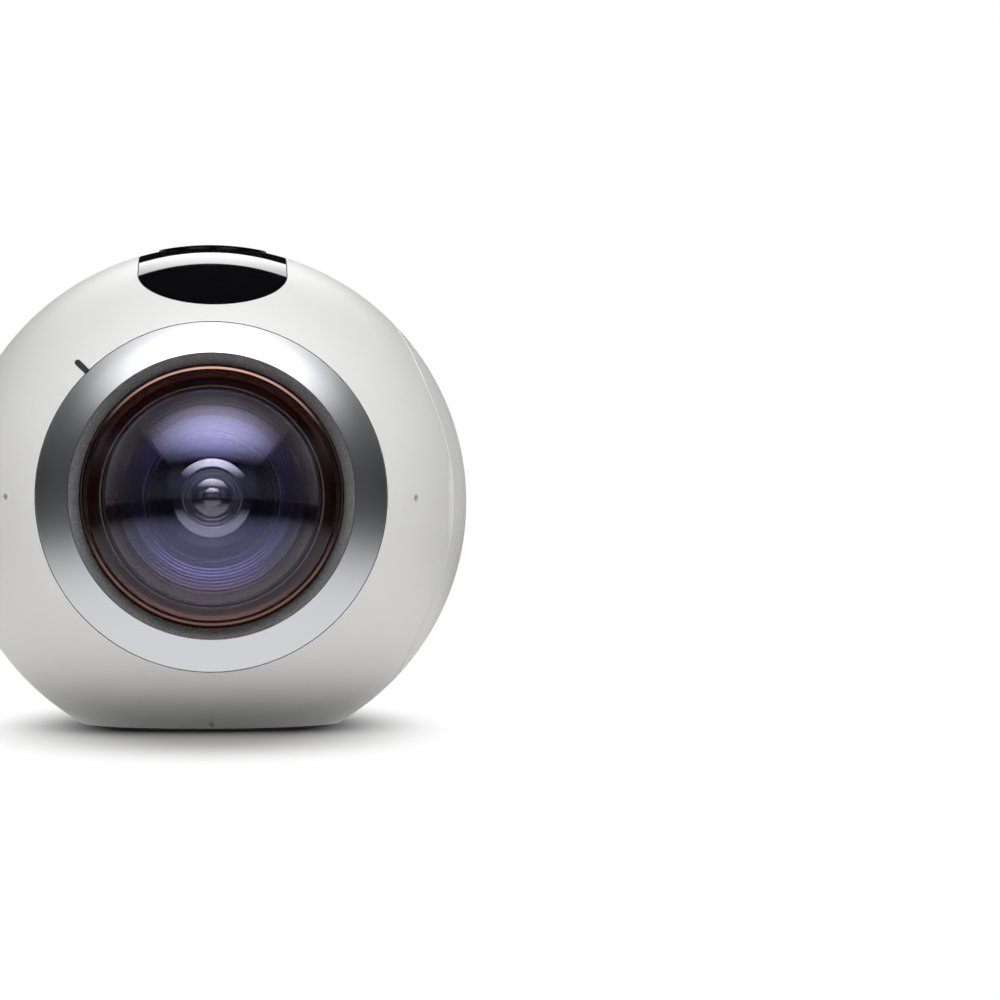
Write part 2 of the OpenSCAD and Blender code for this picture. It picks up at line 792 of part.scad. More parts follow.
module front_bezel_ring() bezel_ring(0);
module rear_bezel_ring() bezel_ring(180);
module front_retainer_ring() retainer_ring(0);
module rear_retainer_ring() retainer_ring(180);
module front_dome_lens() dome_lens(0);
module rear_dome_lens() dome_lens(180);
module front_dome_seal() dome_seal(0);
module rear_dome_seal() dome_seal(180);
module front_lens_seat() lens_seat(0);
module rear_lens_seat() lens_seat(180);
module front_second_lens() second_lens(0);
module rear_second_lens() second_lens(180);
module front_inner_lens() inner_lens(0);
module rear_inner_lens() inner_lens(180);
module front_lens_barrel() lens_barrel(0);
module rear_lens_barrel() lens_barrel(180);
module front_image_sensor() image_sensor(0);
module rear_image_sensor() image_sensor(180);
module front_sensor_board() sensor_board(0);
module rear_sensor_board() sensor_board(180);
module front_sensor_flex() sensor_flex(-1);
module rear_sensor_flex() sensor_flex(1);
module front_light_guide() light_guide(0);
module rear_light_guide() light_guide(180);
module front_lens_screws() lens_screws(0);
module rear_lens_screws() lens_screws(180);

// Glossy black panel that covers the display and frames the OK button
module display_window() {
    color(black) centred() difference() {
        intersection() {
            ball(body_r);
            panel_prism(panel_gap);
        }
        ball(window_in_r);
        translate([0, ok_y, 0]) cylinder(r = ok_r + button_gap, h = big);
    }
}

// Small display bonded under the front part of the panel
module display_module() {
    color("#22242b") centred() rotate([display_tilt, 0, 0])
        translate([0, 0, display_top - display_t])
        linear_extrude(display_t) rounded_rect(display_w, display_l, 0.6);
}

// Round OK button with a hidden rim and a stem for the switch
module ok_button() {
    rim_base = ok_rim_z - ok_rim_t;
    color(black) centred() {
        difference() {
            intersection() {
                translate([0, ok_y, rim_base]) cylinder(r = ok_r, h = body_r);
                ball(body_r + ok_proud);
            }
            intersection() {
                translate([0, ok_y, rim_base - 1]) cylinder(r = ok_r - ok_wall, h = body_r);
                ball(body_r + ok_proud - ok_wall);
            }
        }
        translate([0, ok_y, 0]) ring(ok_rim_r, ok_r - ok_wall, rim_base, ok_rim_t);
        translate([0, ok_y, ok_stem_z]) cylinder(r = ok_stem_r, h = body_r - ok_wall / 2 - ok_stem_z);
    }
}

module ok_switch() {
    color(steel) centred() translate([0, ok_y, top_board_z]) {
        cylinder(r = ok_switch_r, h = ok_switch_h / 2);
        cylinder(r = ok_switch_r / 2, h = ok_switch_h);
    }
}

// Board that carries the OK switch
module top_board() {
    color(board_green) centred()
        box([-boss_x - boss_r, -top_board_front, top_board_z - board_t],
            [boss_x + boss_r, boss_y + boss_r, top_board_z]);
}

// Side button with a hidden rim
module side_button(side) {
    color(housing_white) centred() side_button_place(side) {
        translate([0, 0, side_rim_x - side_rim_t]) cylinder(r = side_rim_r, h = side_rim_t);
        intersection() {
            translate([0, 0, side_rim_x - side_rim_t]) cylinder(r = side_r, h = big);
            rotate(-45) translate([-side * side_pitch / 2, 0, 0]) ball(body_r + side_proud);
        }
    }
}

module menu_button() side_button(1);
module power_button() side_button(-1);

module side_switches() {
    color(steel) centred() for (side = [-1, 1])
        side_button_place(side) translate([0, 0, side_board_x])
            cylinder(r = side_switch_r, h = side_switch_h);
}

// Board behind the side buttons, held by its corners in the shell
module side_switch_board() {
    color(board_green) centred()
        box([-side_board_x, -side_board_y, -side_board_z],
            [board_t - side_board_x, side_board_y, side_board_z]);
}

// Curved pill-shaped door with the rib that carries its inner plate
module battery_door() {
    color(housing_white) centred() {
        difference() {
            intersection() {
                ball(body_r);
                door_prism(door_gap);
            }
            ball(door_skin_r);
        }
        intersection() {
            difference() {
                along_x(door_plate_top_x, body_r) seal_outline(door_seal_w + fit);
                along_x(door_plate_top_x - over, body_r + 2 * over)
                    seal_outline(door_seal_w + fit + door_rib_w);
            }
            ball(body_r - door_lip / 2);
        }
    }
}

// Outline of the seal's outer edge, drawn smaller by inset
module seal_outline(inset) stadium(seal_w - 2 * inset, seal_h - 2 * inset);

module door_inner_plate() {
    color(graphite) centred()
        along_x(door_plate_x, door_plate_t) seal_outline(door_seal_w + fit);
}

// Rubber seal around the door's plate
module door_seal() {
    color(black) centred() difference() {
        along_x(door_plate_x - seal_lead, seal_depth) seal_outline(0);
        along_x(door_plate_x - seal_lead - over, seal_depth + 2 * over) seal_outline(door_seal_w);
    }
}

// Rubber strap under the rear edge of the door, its living hinge
module door_strap() {
    color(black) centred() intersection() {
        difference() {
            ball(door_skin_r - fit);
            ball(door_skin_r - fit - strap_t);
        }
        box([body_r / 2, door_w / 2 - 2 * door_ledge, -strap_w / 2],
            [body_r, door_w / 2 + strap_root - fit, strap_w / 2]);
    }
}

// Pocket for the battery, open towards the door
module battery_pocket() {
    box([battery_back_x - battery_gap, -battery_w / 2 - battery_gap, battery_z - battery_gap],
        [body_r, battery_w / 2 + battery_gap, battery_top_z + battery_gap]);
}

// Moulded bay for the battery, the memory card and the charging port
module battery_bay() {
    color(graphite) centred() difference() {
        intersection() {
            ball(inner_r - 2 * fit);
            box([bay_back_x, -bay_y, bay_bottom_z], [bay_face_x, bay_y, bay_top_z]);
        }
        battery_pocket();
        box([battery_face_x + latch_play, -latch_w / 2 - latch_play, latch_room_z],
            [body_r, latch_w / 2 + latch_play, battery_z]);
        box([bay_face_x - reader_d - fit, -reader_w / 2 - fit, reader_top_z - reader_h - fit],
            [body_r, reader_w / 2 + fit, reader_top_z + fit]);
        box([bay_face_x - usb_d - fit, -usb_w / 2 - fit, usb_top_z - usb_h - fit],
            [body_r, usb_w / 2 + fit, usb_top_z + fit]);
        contact_places(2 * fit, bay_back_x - 1, battery_back_x);
    }
}

module battery() {
    color("#3c3d42") centred() translate([0, 0, battery_z + battery_h / 2])
        along_x(battery_back_x, battery_d) rounded_rect(battery_w, battery_h, 1.2);
}

// The three battery contacts, drawn larger by extra
module contact_places(extra, x0, x1) {
    for (i = [-1, 0, 1])
        translate([0, i * contact_pitch, battery_z + battery_h / 4])
            box([x0, -contact_w / 2 - extra, -contact_h / 2 - extra],
                [x1, contact_w / 2 + extra, contact_h / 2 + extra]);
}

module battery_contacts() {
    color("#c8a44d") centred() contact_places(0, bay_back_x, battery_back_x - fit);
}

// Sliding latch that holds the battery in
module battery_latch() {
    color("#d9732a") centred()
        box([battery_face_x + 2 * latch_play, -latch_w / 2, latch_top_z - latch_h],
            [battery_face_x + 2 * latch_play + latch_t, latch_w / 2, latch_top_z]);
}

module memory_card() {
    color(black) centred()
        box([card_back_x, -card_w / 2, card_z - card_t / 2],
            [bay_face_x - card_inset, card_w / 2, card_z + card_t / 2]);
}

// Metal cage that the memory card slides into
module memory_card_reader() {
    color(steel) centred() difference() {
        box([bay_face_x - reader_d, -reader_w / 2, reader_top_z - reader_h],
            [bay_face_x - card_inset / 2, reader_w / 2, reader_top_z]);
        box([card_back_x - card_travel - card_play, -card_w / 2 - card_play, card_z - card_t / 2 - card_play],
            [body_r, card_w / 2 + card_play, card_z + card_t / 2 + card_play]);
    }
}

// Outline of the charging port, narrower below, drawn smaller by inset
module usb_outline(inset) {
    half = usb_w / 2 - inset;
    low = inset - usb_h;
    step = low * 0.55;
    foot = half - 0.8;
    polygon([[-half, -inset], [half, -inset], [half, step], [foot, low], [-foot, low], [-half, step]]);
}

module usb_port() {
    tongue_t = 0.7;
    back = 1;
    color(steel) centred() translate([0, 0, usb_top_z]) {
        difference() {
            along_x(bay_face_x - usb_d, usb_d - card_inset / 2) usb_outline(0);
            along_x(bay_face_x - usb_d + back, usb_d) usb_outline(usb_wall);
        }
        box([bay_face_x - usb_d + back / 2, usb_wall * 3 - usb_w / 2, -usb_h * 0.38 - tongue_t / 2],
            [bay_face_x - 1, usb_w / 2 - usb_wall * 3, -usb_h * 0.38 + tongue_t / 2]);
    }
}

module main_board() {
    color(board_green) centred()
        box([main_board_x, -main_board_y, bay_bottom_z + 1], [bay_back_x, main_board_y, bay_top_z - 1.5]);
}

module processor_shield() {
    color(steel) centred()
        along_x(main_board_x - shield_t, shield_t) rounded_rect(shield_s, shield_s, 0.8);
}

module speaker() {
    color(black) centred() speaker_place()
        translate([0, 0, speaker_top - speaker_t]) cylinder(r = speaker_r, h = speaker_t);
}

// Four microphone capsules behind their holes
module microphones() {
    color(steel) centred() mic_capsules(0);
}

// Plate on the floor of the housing that ties the halves together and carries the bay
module chassis_base() {
    color(graphite) difference() {
        union() {
            translate([0, 0, floor_top]) cylinder(r = chassis_r, h = chassis_t);
            for (side = [-1, 1])
                translate([0, side * (bay_y - chassis_wall), 0])
                    box([bay_back_x, -chassis_wall / 2, floor_top],
                        [bay_back_x + chassis_wall_l, chassis_wall / 2, centre_h + bay_bottom_z]);
        }
        cylinder(r = socket_r + fit, h = big);
        foot_screw_places() cylinder(r = foot_screw_r + fit, h = floor_top + foot_screw_l + fit);
    }
}

// Metal insert with the tripod thread, held down by its flange
module tripod_socket() {
    top = chassis_top + socket_flange_t;
    color(steel) rotate_extrude() polygon([
        [socket_bore_r + socket_mouth, foot_lift],
        [socket_r, foot_lift],
        [socket_r, chassis_top],
        [socket_flange_r, chassis_top],
        [socket_flange_r, top],
        [0, top],
        [0, top - socket_end_t],
        [socket_bore_r, top - socket_end_t],
        [socket_bore_r, foot_lift + socket_mouth]
    ]);
}

module foot_ring() {
    color(black) ring(foot_r, foot_in_r, 0, foot_t);
}

// Screws under the rubber foot that hold both halves to the chassis
module housing_screws() {
    color(steel) foot_screw_places() {
        translate([0, 0, foot_head_z - foot_screw_head_h])
            cylinder(r = foot_screw_head_r, h = foot_screw_head_h);
        translate([0, 0, foot_head_z - foot_screw_head_h / 2])
            cylinder(r = foot_screw_r, h = floor_top + foot_screw_l - foot_head_z);
    }
}

front_housing();
rear_housing();
front_bezel_ring();
rear_bezel_ring();
front_retainer_ring();
rear_retainer_ring();
front_dome_lens();
rear_dome_lens();
front_dome_seal();
rear_dome_seal();
front_lens_seat();
rear_lens_seat();
front_second_lens();
rear_second_lens();
front_inner_lens();
rear_inner_lens();
front_lens_barrel();
rear_lens_barrel();
front_image_sensor();
rear_image_sensor();
front_sensor_board();
rear_sensor_board();
front_sensor_flex();
rear_sensor_flex();
front_light_guide();
rear_light_guide();
front_lens_screws();
rear_lens_screws();
display_window();
display_module();
ok_button();
ok_switch();
top_board();
menu_button();
power_button();
side_switches();
side_switch_board();
battery_door();
door_inner_plate();
door_seal();
door_strap();
battery_bay();
battery();
battery_contacts();
battery_latch();
memory_card();
memory_card_reader();
usb_port();
main_board();
processor_shield();
speaker();
microphones();
chassis_base();
tripod_socket();
foot_ring();
housing_screws();
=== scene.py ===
"""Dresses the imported 360 degree camera: glass, metal and plastic finishes, lens details, light and camera."""
import math

import bmesh
import bpy
from mathutils import Matrix, Vector


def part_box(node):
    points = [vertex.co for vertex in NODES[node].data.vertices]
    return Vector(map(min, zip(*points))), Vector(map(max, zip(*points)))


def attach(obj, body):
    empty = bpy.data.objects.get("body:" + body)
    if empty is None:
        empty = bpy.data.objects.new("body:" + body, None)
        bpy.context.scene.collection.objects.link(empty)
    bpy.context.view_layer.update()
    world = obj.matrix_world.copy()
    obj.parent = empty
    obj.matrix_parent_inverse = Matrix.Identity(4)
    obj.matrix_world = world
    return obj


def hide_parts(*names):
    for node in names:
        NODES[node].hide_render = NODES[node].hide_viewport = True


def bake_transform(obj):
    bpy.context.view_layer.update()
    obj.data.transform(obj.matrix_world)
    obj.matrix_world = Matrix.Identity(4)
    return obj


bl_info = {
    "name": "360 degree camera dressing",
    "version": (1, 0, 0),
    "blender": (4, 5, 0),
    "location": "3D View > Sidebar > Camera 360",
    "description": "Adds finishes, glass and small trim to the packed 360 degree camera",
    "category": "Object",
}

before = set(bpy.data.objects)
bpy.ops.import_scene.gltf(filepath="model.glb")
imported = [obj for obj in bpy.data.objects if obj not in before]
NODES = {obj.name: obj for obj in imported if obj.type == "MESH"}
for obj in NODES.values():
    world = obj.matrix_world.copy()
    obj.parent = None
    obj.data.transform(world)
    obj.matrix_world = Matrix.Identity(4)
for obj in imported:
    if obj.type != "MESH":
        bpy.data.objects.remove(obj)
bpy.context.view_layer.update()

# A millimetre in the scene's metres
MM = 0.001
# Middle of the ball, level with the lenses, and the ball's radius
DOME_LOW, DOME_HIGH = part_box("front_dome_lens")
CENTRE = Vector((0.0, 0.0, (DOME_LOW.z + DOME_HIGH.z) / 2))
BALL_R = 30.0 * MM
# The body that stands still, and the two ends of the camera with the sign of their lens axis
BODY = "camera_body"
SIDES = (("front", 1), ("rear", -1))
# Points nearer than this are one point, and points nearer the lens axis than this are on it
SAME_POINT = 1e-7
ON_AXIS = 1e-9
# Turn of one step along a profile's arc, in degrees
ARC_STEP = 1.5
# Distance in millimetres that tells the faces of two parts of a lens apart
NEAR = 0.01


def linear(text):
    """An sRGB hex colour as linear RGBA."""
    parts = [int(text[i:i + 2], 16) / 255 for i in (0, 2, 4)]
    return tuple(p / 12.92 if p <= 0.04045 else ((p + 0.055) / 1.055) ** 2.4 for p in parts) + (1.0,)


# Settings


class CAMERA360_PG_finishes(bpy.types.PropertyGroup):
    """Colours of the visible finishes"""

    housing: bpy.props.FloatVectorProperty(
        name="Housing", description="White of the moulded housing and door",
        default=linear("F1F1F0"), size=4, subtype="COLOR", min=0, max=1)
    bezel: bpy.props.FloatVectorProperty(
        name="Bezel", description="Silver of the blasted bezel rings",
        default=linear("D6D7DA"), size=4, subtype="COLOR", min=0, max=1)
    retainer: bpy.props.FloatVectorProperty(
        name="Retainer ring", description="Dark grey of the textured rings inside the bezels",
        default=linear("7C7D80"), size=4, subtype="COLOR", min=0, max=1)
    seat: bpy.props.FloatVectorProperty(
        name="Lens seat", description="Copper brown of the ring under the dome's rim",
        default=linear("8A5A45"), size=4, subtype="COLOR", min=0, max=1)
    panel: bpy.props.FloatVectorProperty(
        name="Top panel", description="Black of the glossy top panel",
        default=linear("0B0B0D"), size=4, subtype="COLOR", min=0, max=1)
    coating: bpy.props.FloatVectorProperty(
        name="Lens coating", description="Tint that the lens coatings give to reflections",
        default=linear("BEBCFF"), size=4, subtype="COLOR", min=0, max=1)


class CAMERA360_PG_sizes(bpy.types.PropertyGroup):
    """Sizes of the details that are modelled here"""

    door_lip: bpy.props.FloatProperty(
        name="Door lip", description="Width of the thin lip that closes most of the gap round the door",
        default=0.19 * MM, unit="LENGTH", min=0.05 * MM)
    bezel_edge: bpy.props.FloatProperty(
        name="Bezel edge", description="Rounding of the bezel ring's rims",
        default=0.05 * MM, unit="LENGTH", min=0.0)
    bezel_inner_r: bpy.props.FloatProperty(
        name="Bezel inner radius", description="Inner radius of the bezel ring",
        default=15.7 * MM, unit="LENGTH", min=0.0)
    dome_curve: bpy.props.FloatProperty(
        name="Dome curvature", description="Radius of curvature of the outer glass",
        default=16.65 * MM, unit="LENGTH", min=0.0)
    dome_hollow: bpy.props.FloatProperty(
        name="Dome hollow", description="Radius of curvature of the dome's hollow side",
        default=13.8 * MM, unit="LENGTH", min=0.0)
    dome_middle: bpy.props.FloatProperty(
        name="Dome thickness", description="Thickness of the dome on its axis",
        default=1.9 * MM, unit="LENGTH", min=0.0)
    second_curve: bpy.props.FloatProperty(
        name="Second lens curvature", description="Radius of curvature of the second lens",
        default=14.9 * MM, unit="LENGTH", min=0.0)
    second_r: bpy.props.FloatProperty(
        name="Second lens radius", description="Radius of the second lens's rim as it shows through the dome",
        default=12.05 * MM, unit="LENGTH", min=0.0)
    second_hollow: bpy.props.FloatProperty(
        name="Second lens hollow", description="Radius of curvature of the second lens's hollow side",
        default=13.0 * MM, unit="LENGTH", min=0.0)
    second_rim: bpy.props.FloatProperty(
        name="Second lens rim", description="Width of the second lens's flat rim",
        default=1.2 * MM, unit="LENGTH", min=0.0)
    inner_curve: bpy.props.FloatProperty(
        name="Inner lens curvature", description="Radius of curvature of the inner lens",
        default=9.6 * MM, unit="LENGTH", min=0.0)
    ridge_pitch: bpy.props.FloatProperty(
        name="Baffle pitch", description="Distance between the light-trap ridges in the barrel",
        default=0.33 * MM, unit="LENGTH", min=0.05 * MM)


class CAMERA360_PG_stage(bpy.types.PropertyGroup):
    """Camera and lamps"""

    distance: bpy.props.FloatProperty(
        name="Camera distance", description="Distance from the middle of the ball",
        default=0.350, unit="LENGTH", min=0.1)
    height: bpy.props.FloatProperty(
        name="Camera height", description="Height of the camera above the floor",
        default=0.0173, unit="LENGTH", min=0.0)
    focal: bpy.props.FloatProperty(
        name="Focal length", description="Focal length on a 36 mm sensor, in millimetres",
        default=106.3, unit="CAMERA", min=10)
    pitch: bpy.props.FloatProperty(
        name="Pitch", description="How far the camera looks up",
        default=math.radians(1.5), subtype="ANGLE")
    yaw: bpy.props.FloatProperty(
        name="Yaw", description="How far the camera looks to the right of the ball",
        default=math.radians(5.57), subtype="ANGLE")
    top_power: bpy.props.FloatProperty(
        name="Top softbox", description="Power of the softbox above the ball, in watts",
        default=4.35, unit="POWER", min=0.0)
    strip_power: bpy.props.FloatProperty(
        name="Back strip", description="Power of the strip light above and behind the ball, in watts",
        default=1.2, unit="POWER", min=0.0)
    side_power: bpy.props.FloatProperty(
        name="Side panels", description="Power of each panel beside the ball, in watts",
        default=0.08, unit="POWER", min=0.0)
    front_power: bpy.props.FloatProperty(
        name="Front fill", description="Power of the low lamp in front of the ball, in watts",
        default=0.34, unit="POWER", min=0.0)
    back_power: bpy.props.FloatProperty(
        name="Back fill", description="Power of the low lamp behind the ball, in watts",
        default=0.5, unit="POWER", min=0.0)
    fill: bpy.props.FloatProperty(
        name="Room light", description="Strength of the even light from all round",
        default=0.08, min=0.0, subtype="FACTOR")


# Building helpers


def new_material(name):
    """An empty node material, its tree and a link to its object coordinates."""
    material = bpy.data.materials.new(name)
    material.use_nodes = True
    tree = material.node_tree
    tree.nodes.clear()
    return material, tree, (add(tree, "ShaderNodeTexCoord"), "Object")


def add(tree, kind, sockets=None, **settings):
    """Add a node, give its settings, and fill its sockets with values or with (node, output) links."""
    node = tree.nodes.new(kind)
    for name, value in settings.items():
        setattr(node, name, value)
    for name, value in (sockets or {}).items():
        if isinstance(value, tuple) and isinstance(value[0], bpy.types.Node):
            tree.links.new(value[0].outputs[value[1]], node.inputs[name])
        else:
            node.inputs[name].default_value = value
    return node


def calc(tree, operation, *values):
    """Math on values or links, as a link to the result."""
    return add(tree, "ShaderNodeMath", dict(enumerate(values)), operation=operation), 0


def vector_calc(tree, operation, *values):
    """Vector math on values or links, as a link to the result."""
    node = add(tree, "ShaderNodeVectorMath", dict(enumerate(values)), operation=operation)
    return node, "Value" if operation in ("LENGTH", "DOT_PRODUCT") else "Vector"


def ramp(tree, value, given, result=(0.0, 1.0), smooth=False):
    """Turn one span of values into another, as a link to the result."""
    node = add(tree, "ShaderNodeMapRange", {
        "Value": value, "From Min": given[0], "From Max": given[1], "To Min": result[0], "To Max": result[1]},
        interpolation_type="SMOOTHSTEP" if smooth else "LINEAR")
    return node, "Result"


def noise(tree, place, size, detail=2.0):
    """Noise with features of about that many millimetres, as a link to its value."""
    node = add(tree, "ShaderNodeTexNoise", {"Vector": place, "Scale": 1 / (size * MM), "Detail": detail})
    return node, "Fac"


def mixed(tree, share, first, second):
    """Two colours mixed by a link, as a link to the result."""
    return add(tree, "ShaderNodeMix", {"Factor": share, "A": first, "B": second}, data_type="RGBA"), 2


def shade(colour, factor):
    """A colour made darker or lighter."""
    return tuple(min(1.0, c * factor) for c in colour[:3]) + (1.0,)


def bumps(tree, height, strength, depth):
    """Fine relief of up to that many millimetres, as a link to the turned normal."""
    node = add(tree, "ShaderNodeBump", {"Height": height, "Strength": strength, "Distance": depth * MM})
    return node, "Normal"


def finished(material, sockets):
    """Give a material its shader with these sockets."""
    shader = add(material.node_tree, "ShaderNodeBsdfPrincipled", sockets)
    add(material.node_tree, "ShaderNodeOutputMaterial", {"Surface": (shader, "BSDF")})
    return material


def polished(name, size, rough, sockets, detail=2.0):
    """A material whose roughness drifts between two values over that many millimetres."""
    material, tree, place = new_material(name)
    gloss = ramp(tree, noise(tree, place, size, detail), (0, 1), rough)
    return finished(material, {"Roughness": gloss, **sockets})


def span(node):
    """Radius of a turned CAD node and how far from the ball's middle it starts and ends, in millimetres."""
    low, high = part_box(node)
    ends = sorted((abs(low.y) / MM, abs(high.y) / MM))
    return (high.x - low.x) / 2 / MM, ends[0], ends[1]


def lens_point(side, r, a):
    """Point at radius r from a lens axis and distance a from the middle of the ball, given in millimetres."""
    return CENTRE + Vector((r * MM, -side * a * MM, 0.0))


def trace(bm, side, parts):
    """Draw a profile that starts at the first part's point and comes back to it, except along the lens axis.

    (r, a) goes straight to a point, (r, a, rounding) rounds that corner too, and ("arc", a, degrees) swings
    about the point at distance a on the lens axis.
    """
    last = None
    first = None
    corners = {}
    for part in parts:
        if part[0] == "arc":
            steps = max(6, int(abs(part[2]) / ARC_STEP))
            swung = bmesh.ops.spin(bm, geom=[last], cent=lens_point(side, 0, part[1]), axis=(0, 0, 1),
                                   angle=side * math.radians(part[2]), steps=steps)
            last = [v for v in swung["geom_last"] if isinstance(v, bmesh.types.BMVert)][0]
            continue
        vert = bm.verts.new(lens_point(side, part[0], part[1]))
        if last is not None:
            bm.edges.new((last, vert))
        if len(part) > 2:
            corners.setdefault(part[2], []).append(vert)
        last = vert
        first = first or vert
    along_axis = abs(last.co.x) < ON_AXIS and abs(first.co.x) < ON_AXIS
    if (last.co - first.co).length > SAME_POINT and not along_axis:
        bm.edges.new((last, first))
    for rounding, verts in corners.items():
        bmesh.ops.bevel(bm, geom=verts, offset=rounding * MM, offset_type="OFFSET", segments=4, profile=0.5,
                        affect="VERTICES", material=-1)


def spun(name, side, parts, materials, steps, nodes=(), sharp=40):
    """Turn a profile about the lens axis into a piece."""
    bm = bmesh.new()
    trace(bm, side, parts)
    bmesh.ops.spin(bm, geom=bm.verts[:] + bm.edges[:], cent=CENTRE, axis=(0, 1, 0), angle=2 * math.pi,
                   steps=steps, use_merge=True)
    return piece(name, bm, materials, nodes, sharp=sharp)


def piece(name, bm, materials, nodes=(), body=BODY, sharp=40):
    """Turn a bmesh into an object that takes the place of CAD nodes and rides on a body, if one is given."""
    bmesh.ops.remove_doubles(bm, verts=bm.verts[:], dist=SAME_POINT)
    bmesh.ops.recalc_face_normals(bm, faces=bm.faces[:])
    mesh = bpy.data.meshes.new(name)
    bm.to_mesh(mesh)
    bm.free()
    if not mesh.polygons:
        raise RuntimeError(name + " came out empty")
    mesh.shade_smooth()
    mesh.set_sharp_from_angle(angle=math.radians(sharp))
    obj = bpy.data.objects.new(name, mesh)
    bpy.context.scene.collection.objects.link(obj)
    for material in materials:
        mesh.materials.append(material)
    if body:
        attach(obj, body)
    if nodes:
        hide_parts(*nodes)
    return obj


def turned_faces(obj):
    """Each face of a turned piece, its radius and its distance from the ball's middle, in millimetres."""
    for face in obj.data.polygons:
        spot = (face.center - CENTRE) / MM
        yield face, math.hypot(spot.x, spot.z), abs(spot.y)


def dress(material, *names):
    """Give CAD nodes a material."""
    for name in names:
        slots = NODES[name].data.materials
        slots.clear()
        slots.append(material)


# Materials


def moulded_white_abs(colour):
    """Spark-eroded white ABS: a soft satin sheen with a grain that is only just there."""
    material, tree, place = new_material("moulded_white_abs")
    # The grain is coarser than the real texture so that it can show
    grain = noise(tree, place, 0.25, 3.0)
    # Slow drift of the gloss, as moulded skins have
    drift = noise(tree, place, 9)
    return finished(material, {
        "Base Color": mixed(tree, drift, colour, shade(colour, 0.975)),
        "Roughness": ramp(tree, drift, (0, 1), (0.34, 0.42)),
        "Normal": bumps(tree, grain, 0.035, 0.05), "IOR": 1.53})


def blasted_aluminium(colour):
    """Bead-blasted, clear-anodised aluminium: a broad soft reflection with a fine sparkle."""
    material, tree, place = new_material("blasted_aluminium")
    beads = noise(tree, place, 0.12)
    return finished(material, {
        "Base Color": colour, "Metallic": 1.0, "Roughness": ramp(tree, beads, (0, 1), (0.33, 0.40)),
        "Normal": bumps(tree, beads, 0.05, 0.02)})


def diamond_cut_rim():
    """Diamond-cut aluminium: the bright turned line along the outer rim of the bezel."""
    return polished("diamond_cut_rim", 0.4, (0.10, 0.18), {
        "Base Color": linear("F2F3F5"), "Metallic": 1.0}, detail=1.0)


def textured_graphite(colour):
    """Coarsely blasted dark anodised ring: matt with light specks."""
    material, tree, place = new_material("textured_graphite")
    # Specks of the size that shows in the photograph
    specks = noise(tree, place, 0.2)
    spread = ramp(tree, specks, (0.3, 0.7))
    return finished(material, {
        "Base Color": mixed(tree, spread, shade(colour, 0.72), shade(colour, 1.4)), "Metallic": 0.35,
        "Roughness": 0.5, "Normal": bumps(tree, specks, 0.25, 0.05)})


def coated_dome_glass(name, tint):
    """Polished optical glass with a thin coating: clear, with a trace of haze and tinted reflections."""
    return polished(name, 6, (0.0, 0.012), {
        "Base Color": linear("FDFDFF"), "IOR": 1.5, "Transmission Weight": 1.0, "Specular Tint": tint})


def coated_lens_glass(tint):
    """Multi-coated lens glass: what shines through it and off it turns violet."""
    return polished("coated_lens_glass", 4, (0.0, 0.012), {
        "Base Color": linear("F1EEFF"), "IOR": 1.6, "Transmission Weight": 1.0, "Specular Tint": tint})


def lens_stack_glass(tint):
    """The deep inner group seen as one: near black, with the mirror-like shine of many coated faces."""
    return polished("lens_stack_glass", 3, (0.05, 0.09), {
        "Base Color": linear("05050A"), "IOR": 2.6, "Specular Tint": tint,
        "Coat Weight": 1.0, "Coat IOR": 1.8, "Coat Roughness": 0.03})


def pupil_glass():
    """Smallest lens in the middle: clear dark glass with white highlights."""
    return polished("pupil_glass", 1, (0.16, 0.22), {
        "Base Color": linear("060608"), "IOR": 2.2,
        "Coat Weight": 1.0, "Coat IOR": 1.8, "Coat Roughness": 0.04})


def bronzed_brass(colour, name="bronzed_brass", metal=0.75):
    """Turned and bronzed brass: warm brown with a narrow glint."""
    material, tree, place = new_material(name)
    patches = noise(tree, place, 2.5, 3.0)
    return finished(material, {
        "Base Color": mixed(tree, patches, colour, shade(colour, 0.6)), "Metallic": metal, "Roughness": 0.2})


def baffle_painted_coating_tint():
    """Ridged light trap behind the coated lens, its metal violet near the inner group and brown further out;
    the violet is a painted tint that stands in for the coatings' coloured reflections.
    """
    material, tree, place = new_material("baffle_painted_coating_tint")
    middle = vector_calc(tree, "SUBTRACT", place, tuple(CENTRE))
    flat = vector_calc(tree, "MULTIPLY", middle, (1.0, 0.0, 1.0))
    out = ramp(tree, vector_calc(tree, "LENGTH", flat), (8.2 * MM, 10.4 * MM), smooth=True)
    return finished(material, {
        "Base Color": mixed(tree, out, linear("403761"), linear("3A2422")), "Metallic": 0.7,
        "Roughness": ramp(tree, noise(tree, place, 0.3), (0, 1), (0.17, 0.22))})


def black_anodised():
    """Brownish black anodised aluminium: nearly black with a tight grey sheen."""
    return polished("brown_black_anodised", 0.3, (0.26, 0.34), {
        "Base Color": linear("1C1311"), "Specular IOR Level": 0.7})


def black_panel_gloss(colour):
    """Black polycarbonate with a hard coat: a deep mirror that hides the display until it lights."""
    return polished("black_panel_gloss", 5, (0.035, 0.07), {
        "Base Color": colour, "IOR": 1.58, "Coat Weight": 0.2, "Coat Roughness": 0.03}, detail=3.0)


def moulded_plastic(name, text, rough, grain_mm=0.3):
    """Textured engineering plastic: dull, with an even grain from the mould."""
    material, tree, place = new_material(name)
    grain = noise(tree, place, grain_mm, 3.0)
    colour = linear(text)
    return finished(material, {
        "Base Color": mixed(tree, grain, shade(colour, 0.85), shade(colour, 1.12)), "Roughness": rough,
        "Normal": bumps(tree, grain, 0.12, 0.05)})


